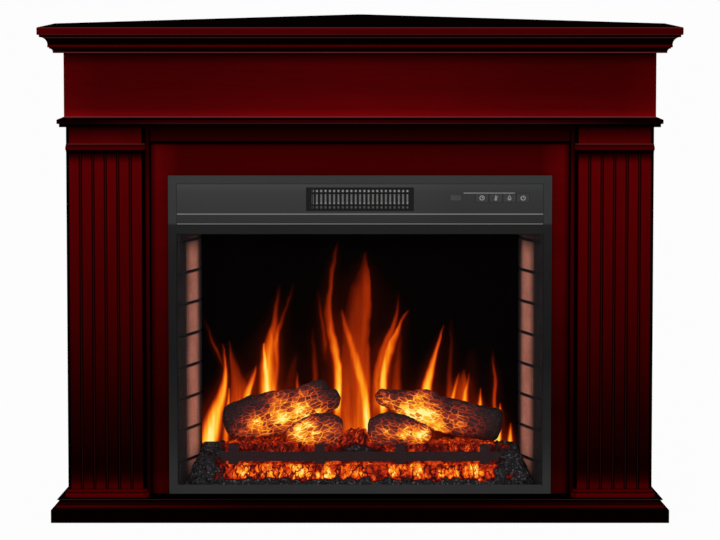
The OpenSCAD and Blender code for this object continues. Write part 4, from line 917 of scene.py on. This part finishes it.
def make_ember_bed():
    """The moulded ember bed: a glowing strip in front, a ledge, red embers behind the grate and coal at both
    ends, where the section goes over from the bed's to the heap's."""
    low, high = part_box("ember_bed")
    floor, front, back = low.z, low.y, high.y
    top = floor + 52 * MM
    bed = [(front, floor), (front + 0.5 * MM, floor + 8 * MM), (front + 12 * MM, top), (front + 26 * MM, top),
           (front + 32 * MM, SEAT), (back, SEAT)]
    heap = [(front + 8 * MM, floor), (front + 8 * MM, floor + 10 * MM), (front + 14 * MM, top),
            (front + 26 * MM, SEAT - 16 * MM), (front + 50 * MM, SEAT - 8 * MM), (back, SEAT - 8 * MM)]
    run = [0, 0.05, 0.33, 0.41, 0.60, 1.0]
    rows, columns = 96, int((high.x - low.x) / (2.4 * MM))
    xs = np.linspace(low.x, high.x, columns)
    swap = rounded(held((np.abs(xs) - 252 * MM) / (34 * MM)))
    share = np.linspace(0, 1, rows)
    y, z = (np.outer(np.interp(share, run, middle), 1 - swap) + np.outer(np.interp(share, run, end), swap)
            for middle, end in zip(zip(*bed), zip(*heap)))
    # beside the splayed bricks the bed narrows towards the back
    narrow = 1 - 36 * MM * (y - front + 4 * MM) / (104 * MM) / high.x
    x = xs * narrow
    # embers heaped up between the two logs in front
    hump = np.exp(-((xs + 9 * MM) / (30 * MM)) ** 4 - ((y - front_y - 8 * MM) / (20 * MM)) ** 2)
    ragged = soft_noise(np.stack([x, y, 0 * x], axis=2).reshape(-1, 3), 12 * MM, 61).reshape(x.shape)
    z = z + 33 * MM * hump * (0.55 + 0.65 * ragged) * (z > SEAT - 20 * MM)
    # the coal falls away to the bricks, steeply and further down in front
    z = np.minimum(z, floor + 4 * MM + 0.72 * (y - front) + 1.9 * (high.x * narrow - np.abs(x)))
    points = np.stack([x, y, z], axis=2)
    away = unit(np.cross(np.gradient(points, axis=1), np.gradient(points, axis=0))).reshape(-1, 3)
    points = points.reshape(-1, 3)
    near, second, stone = lump_noise(points * (1.15, 1, 0.8), 13 * MM, 5)
    small, gap, pebble = lump_noise(points, 7.0 * MM, 23)
    furrow = second - near
    lumps = 4.4 * np.clip(1 - near, 0, None) ** 1.2 + 2.0 * held(furrow / 0.35) - 6.4
    stones = 6.5 * stone + 3.2 * held(furrow / 0.3) + 5.5 * pebble + 3.0 * held((gap - small) / 0.3) - 12.5
    in_coal = np.tile(swap, rows)
    free = np.pad(np.ones((rows - 2, columns - 2)), 1).ravel()           # the outermost points stay
    sink = np.where(away[:, 1] > -0.35, 1.0, 0.9)
    points = points + away * ((lumps * (1 - in_coal) + stones * in_coal) * sink * free * MM)[:, None]
    # walls from the bed's edge down to the floor, at the back and at the ends
    rim = grid_rim(rows, columns)
    under = points[rim] * (1, 1, 0) + (0, 0, floor)
    apart = np.linalg.norm(points[rim] - under, axis=1) > 1e-6
    sides = walls(rim, range(len(points), len(points) + len(rim)))
    sides = [quad for quad, needed in zip(sides, apart) if needed]
    glow, strip = (np.pad(numbers, (0, len(rim))) for numbers in ember_glow(points, furrow))
    piece("ember_crust", np.concatenate([points, under]), grid_faces(rows, columns) + sides, ember_crust(),
          "ember_resin", replaces=["ember_bed"], glow=glow, strip=strip)


make_ember_bed()


# ---------- signs on the keys and the display ----------

def ribbon(path, width, y, closed):
    """A thin flat line along a path of (x, z), 0.12 mm thick, with its face at y."""
    line = np.array(path, float)
    after, before = np.roll(line, -1, axis=0), np.roll(line, 1, axis=0)
    if not closed:
        after[-1], before[0] = 2 * line[-1] - line[-2], 2 * line[0] - line[1]
    side = unit(after - before)[:, ::-1] * (-1, 1) * width / 2
    points = [((x + sign * along) * MM, y + depth * MM, (z + sign * up) * MM)
              for (x, z), (along, up) in zip(line, side)
              for sign, depth in ((1, 0), (-1, 0), (-1, 0.12), (1, 0.12))]
    count = len(line)
    last = 4 * (count - 1)
    ends = [] if closed else [(0, 1, 2, 3), (last + 3, last + 2, last + 1, last)]
    return points, ends + [(4 * i + k, 4 * j + k, 4 * j + (k + 1) % 4, 4 * i + (k + 1) % 4)
                           for i, j in zip(range(count if closed else count - 1), [*range(1, count), 0])
                           for k in range(4)]


def make_sign(name, strokes, y, finish, slot, body="fireplace"):
    """One piece of strokes, each (path in millimetres, width, closed)."""
    points, faces = joined(ribbon(path, width, y, closed) for path, width, closed in strokes)
    piece(name, points, faces, finish, slot, body, smooth=False)


def ring(centre, radius, start=0, turn=360):
    """Points round a circle, from an angle on, in degrees."""
    steps = 28
    angles = np.radians(start + turn * np.arange(steps + (turn < 360)) / steps)
    return [(centre[0] + radius * math.cos(a), centre[1] + radius * math.sin(a)) for a in angles]


# the keys' printing, and the painted highlight along the key row
legend_and_highlight = legend("key_legend_and_highlight", 0.50, 0.10)
faint_legend = legend("display_segments", 0.10, 0.0)
PRINT = 0.10 * MM                              # how far printing stands off its ground

# A clock, a thermometer, a flame and a power sign, as strokes from the middle of their keys
SIGNS = {
    "timer_key": [(ring((0, 0), 4.0), 0.8, True), ([(0, 2.4), (0, 0)], 0.8, False),
                  ([(-0.2, 0), (2.0, 0)], 0.8, False)],
    "heat_key": [(ring((0, -2.8), 1.6), 0.8, True),
                 ([(-0.9, -1.4), (-0.9, 3.4), (0, 4.3), (0.9, 3.4), (0.9, -1.4)], 0.6, False),
                 ([(2.2, 2.6), (3.6, 2.6)], 0.6, False), ([(2.2, 0.6), (3.6, 0.6)], 0.6, False)],
    "flame_key": [([(-0.2, 4.6), (1.8, 1.8), (2.9, -0.8), (2.2, -3.2), (0, -4.2), (-2.2, -3.2), (-2.9, -0.9),
                    (-1.7, 1.2)], 0.8, True), ([(-1.0, -2.9), (0, -0.4), (1.0, -2.9)], 0.7, False)],
    "power_key": [(ring((0, -0.3), 3.9, 125, 290), 0.9, False), ([(0, 4.6), (0, 0.4)], 0.9, False)],
}


def key_signs():
    for key, strokes in SIGNS.items():
        low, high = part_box(key)
        middle = np.array([low.x + high.x, low.z + high.z]) / 2 / MM
        strokes = [(middle + path, width, closed) for path, width, closed in strokes]
        make_sign(key.replace("key", "sign"), strokes, low.y - PRINT, legend_and_highlight, "key_plastic", key)


def display_segments():
    """Three unlit seven-segment figures, just to be seen."""
    low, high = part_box("display_window")
    middle = (low.z + high.z) / 2 / MM
    strokes = []
    for number in range(3):
        x = low.x / MM + 4.4 + 6.4 * number
        strokes += [([(x - 1.3, z), (x + 1.3, z)], 0.6, False) for z in (middle - 3.6, middle, middle + 3.6)]
        strokes += [([(x + side, z), (x + side, z + 2.8)], 0.6, False)
                    for side in (-1.9, 1.9) for z in (middle - 3.2, middle + 0.4)]
    make_sign("display_figures", strokes, low.y - PRINT, faint_legend, "display")


def key_row_highlight():
    """A painted highlight: a thin bright line along the top of the key row, where its edge would catch the
    light.
    """
    low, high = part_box("timer_key")
    z = high.z / MM + 0.2
    left, right = low.x / MM - 22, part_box("power_key")[0].x / MM - 3
    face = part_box("control_panel")[0].y + 0.85 * MM
    make_sign("key_row_painted_highlight", [([(left, z), (right, z)], 0.7, False)], face, legend_and_highlight, "key_plastic")


key_signs()
display_segments()
key_row_highlight()


# ---------- heater outlet ----------

def make_outlet_fins():
    """Folded aluminium fins just behind the slots of the grille."""
    low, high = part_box("heating_element")
    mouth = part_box("heater_grille")[1].y + 0.5 * MM
    pitch = 8.0 * MM
    x, z = np.meshgrid(np.arange(low.x + 1 * MM, high.x - 1 * MM, 1 * MM),
                       np.linspace(low.z + 0.5 * MM, high.z - 0.5 * MM, 12))
    fold = np.abs((x / pitch + 0.5) % 1.0 - 0.5) * 2                     # 0 behind a slot and 1 behind a bar
    y = mouth + 5.0 * MM * fold ** 1.5 + 0.4 * MM * np.cos(z / MM * 1.3)
    sheet = np.stack([x, y, z], axis=2).reshape(-1, 3)
    face, rim = grid_faces(*x.shape), grid_rim(*x.shape)
    back = [tuple(len(sheet) + i for i in reversed(quad)) for quad in face]
    piece("outlet_fins", np.concatenate([sheet, sheet + (0, 0.3 * MM, 0)]),
          face + back + walls(rim, [len(sheet) + i for i in rim]), outlet_aluminium(), "zinc_steel")


def make_outlet_seal():
    """A strip of black felt behind the grille's lower edge, which keeps out light from behind."""
    low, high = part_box("heater_grille")
    half, z = high.x / MM - 1, low.z / MM - 0.6
    make_sign("outlet_seal", [([(-half, z), (half, z)], 4.0, False)], high.y + 0.1 * MM, enamel,
              "black_enamel")


make_outlet_fins()
make_outlet_seal()


# ---------- floor, light and camera ----------

def make_floor():
    """Pale paper that the camera, glass and gloss see nearly white, with the object's shadow on it."""
    f = Finish("studio_floor")
    grain = f.noise(f.place(), 3.0, 2.0)
    paper = f.shader(Base_Color=f.mix(grain, grey(0.90), grey(0.93)), Roughness=0.9, Specular_IOR_Level=0.0)
    white = f.node("ShaderNodeEmission", None, {"Color": grey(1.0), "Strength": 1.0})
    finish = f.done(f.node("ShaderNodeMixShader", None, [0.97 * f.seen_straight(), paper, white]))
    finish.cycles.emission_sampling = "NONE"      # so wide a white would drown the lamps
    reach = 40.0
    mesh = bpy.data.meshes.new("studio_floor")
    mesh.from_pydata([(-reach, -reach, 0), (reach, -reach, 0), (reach, reach, 0), (-reach, reach, 0)],
                     [], [(0, 1, 2, 3)])
    mesh.materials.append(finish)
    floor = placed("studio_floor", mesh)


def make_world():
    """White to the camera, in glass and in gloss, and a plain soft light for everything else."""
    f = Finish("studio", bpy.data.worlds.new("studio"), "ShaderNodeOutputWorld")
    soft, white = (f.node("ShaderNodeBackground", None, {"Color": grey(1.0), "Strength": level})
                   for level in (0.35, 1.0))
    f.done(f.node("ShaderNodeMixShader", None, [f.seen_straight(), soft, white]))
    bpy.context.scene.world = f.owner


def softbox(name, place, aim, size, power):
    lamp = bpy.data.lights.new(name, "AREA")
    lamp.shape = "RECTANGLE"
    lamp.size, lamp.size_y = size
    lamp.energy = power
    placed(name, lamp, place, (Vector(aim) - Vector(place)).to_track_quat("-Z", "Y").to_euler())


def make_camera():
    """The photograph's view: a long lens that looks a little down."""
    view = bpy.data.cameras.new("camera")
    view.sensor_width = 36.0
    view.lens = 170.82
    view.shift_y = -0.1
    looks_down = 4.795                            # degrees
    bpy.context.scene.camera = placed("camera", view, (0, -6.618, 1.1267),
                                      (math.radians(90 - looks_down), 0, 0))


make_floor()
make_world()
softbox("front_light", (-0.5, -4.6, 1.3), (0, -0.3, 0.45), (2.6, 1.6), 40)
softbox("side_light", (2.8, -2.6, 1.5), (0, -0.1, 0.45), (0.8, 1.4), 7)
make_camera()
bpy.context.scene.view_settings.view_transform = "Standard"
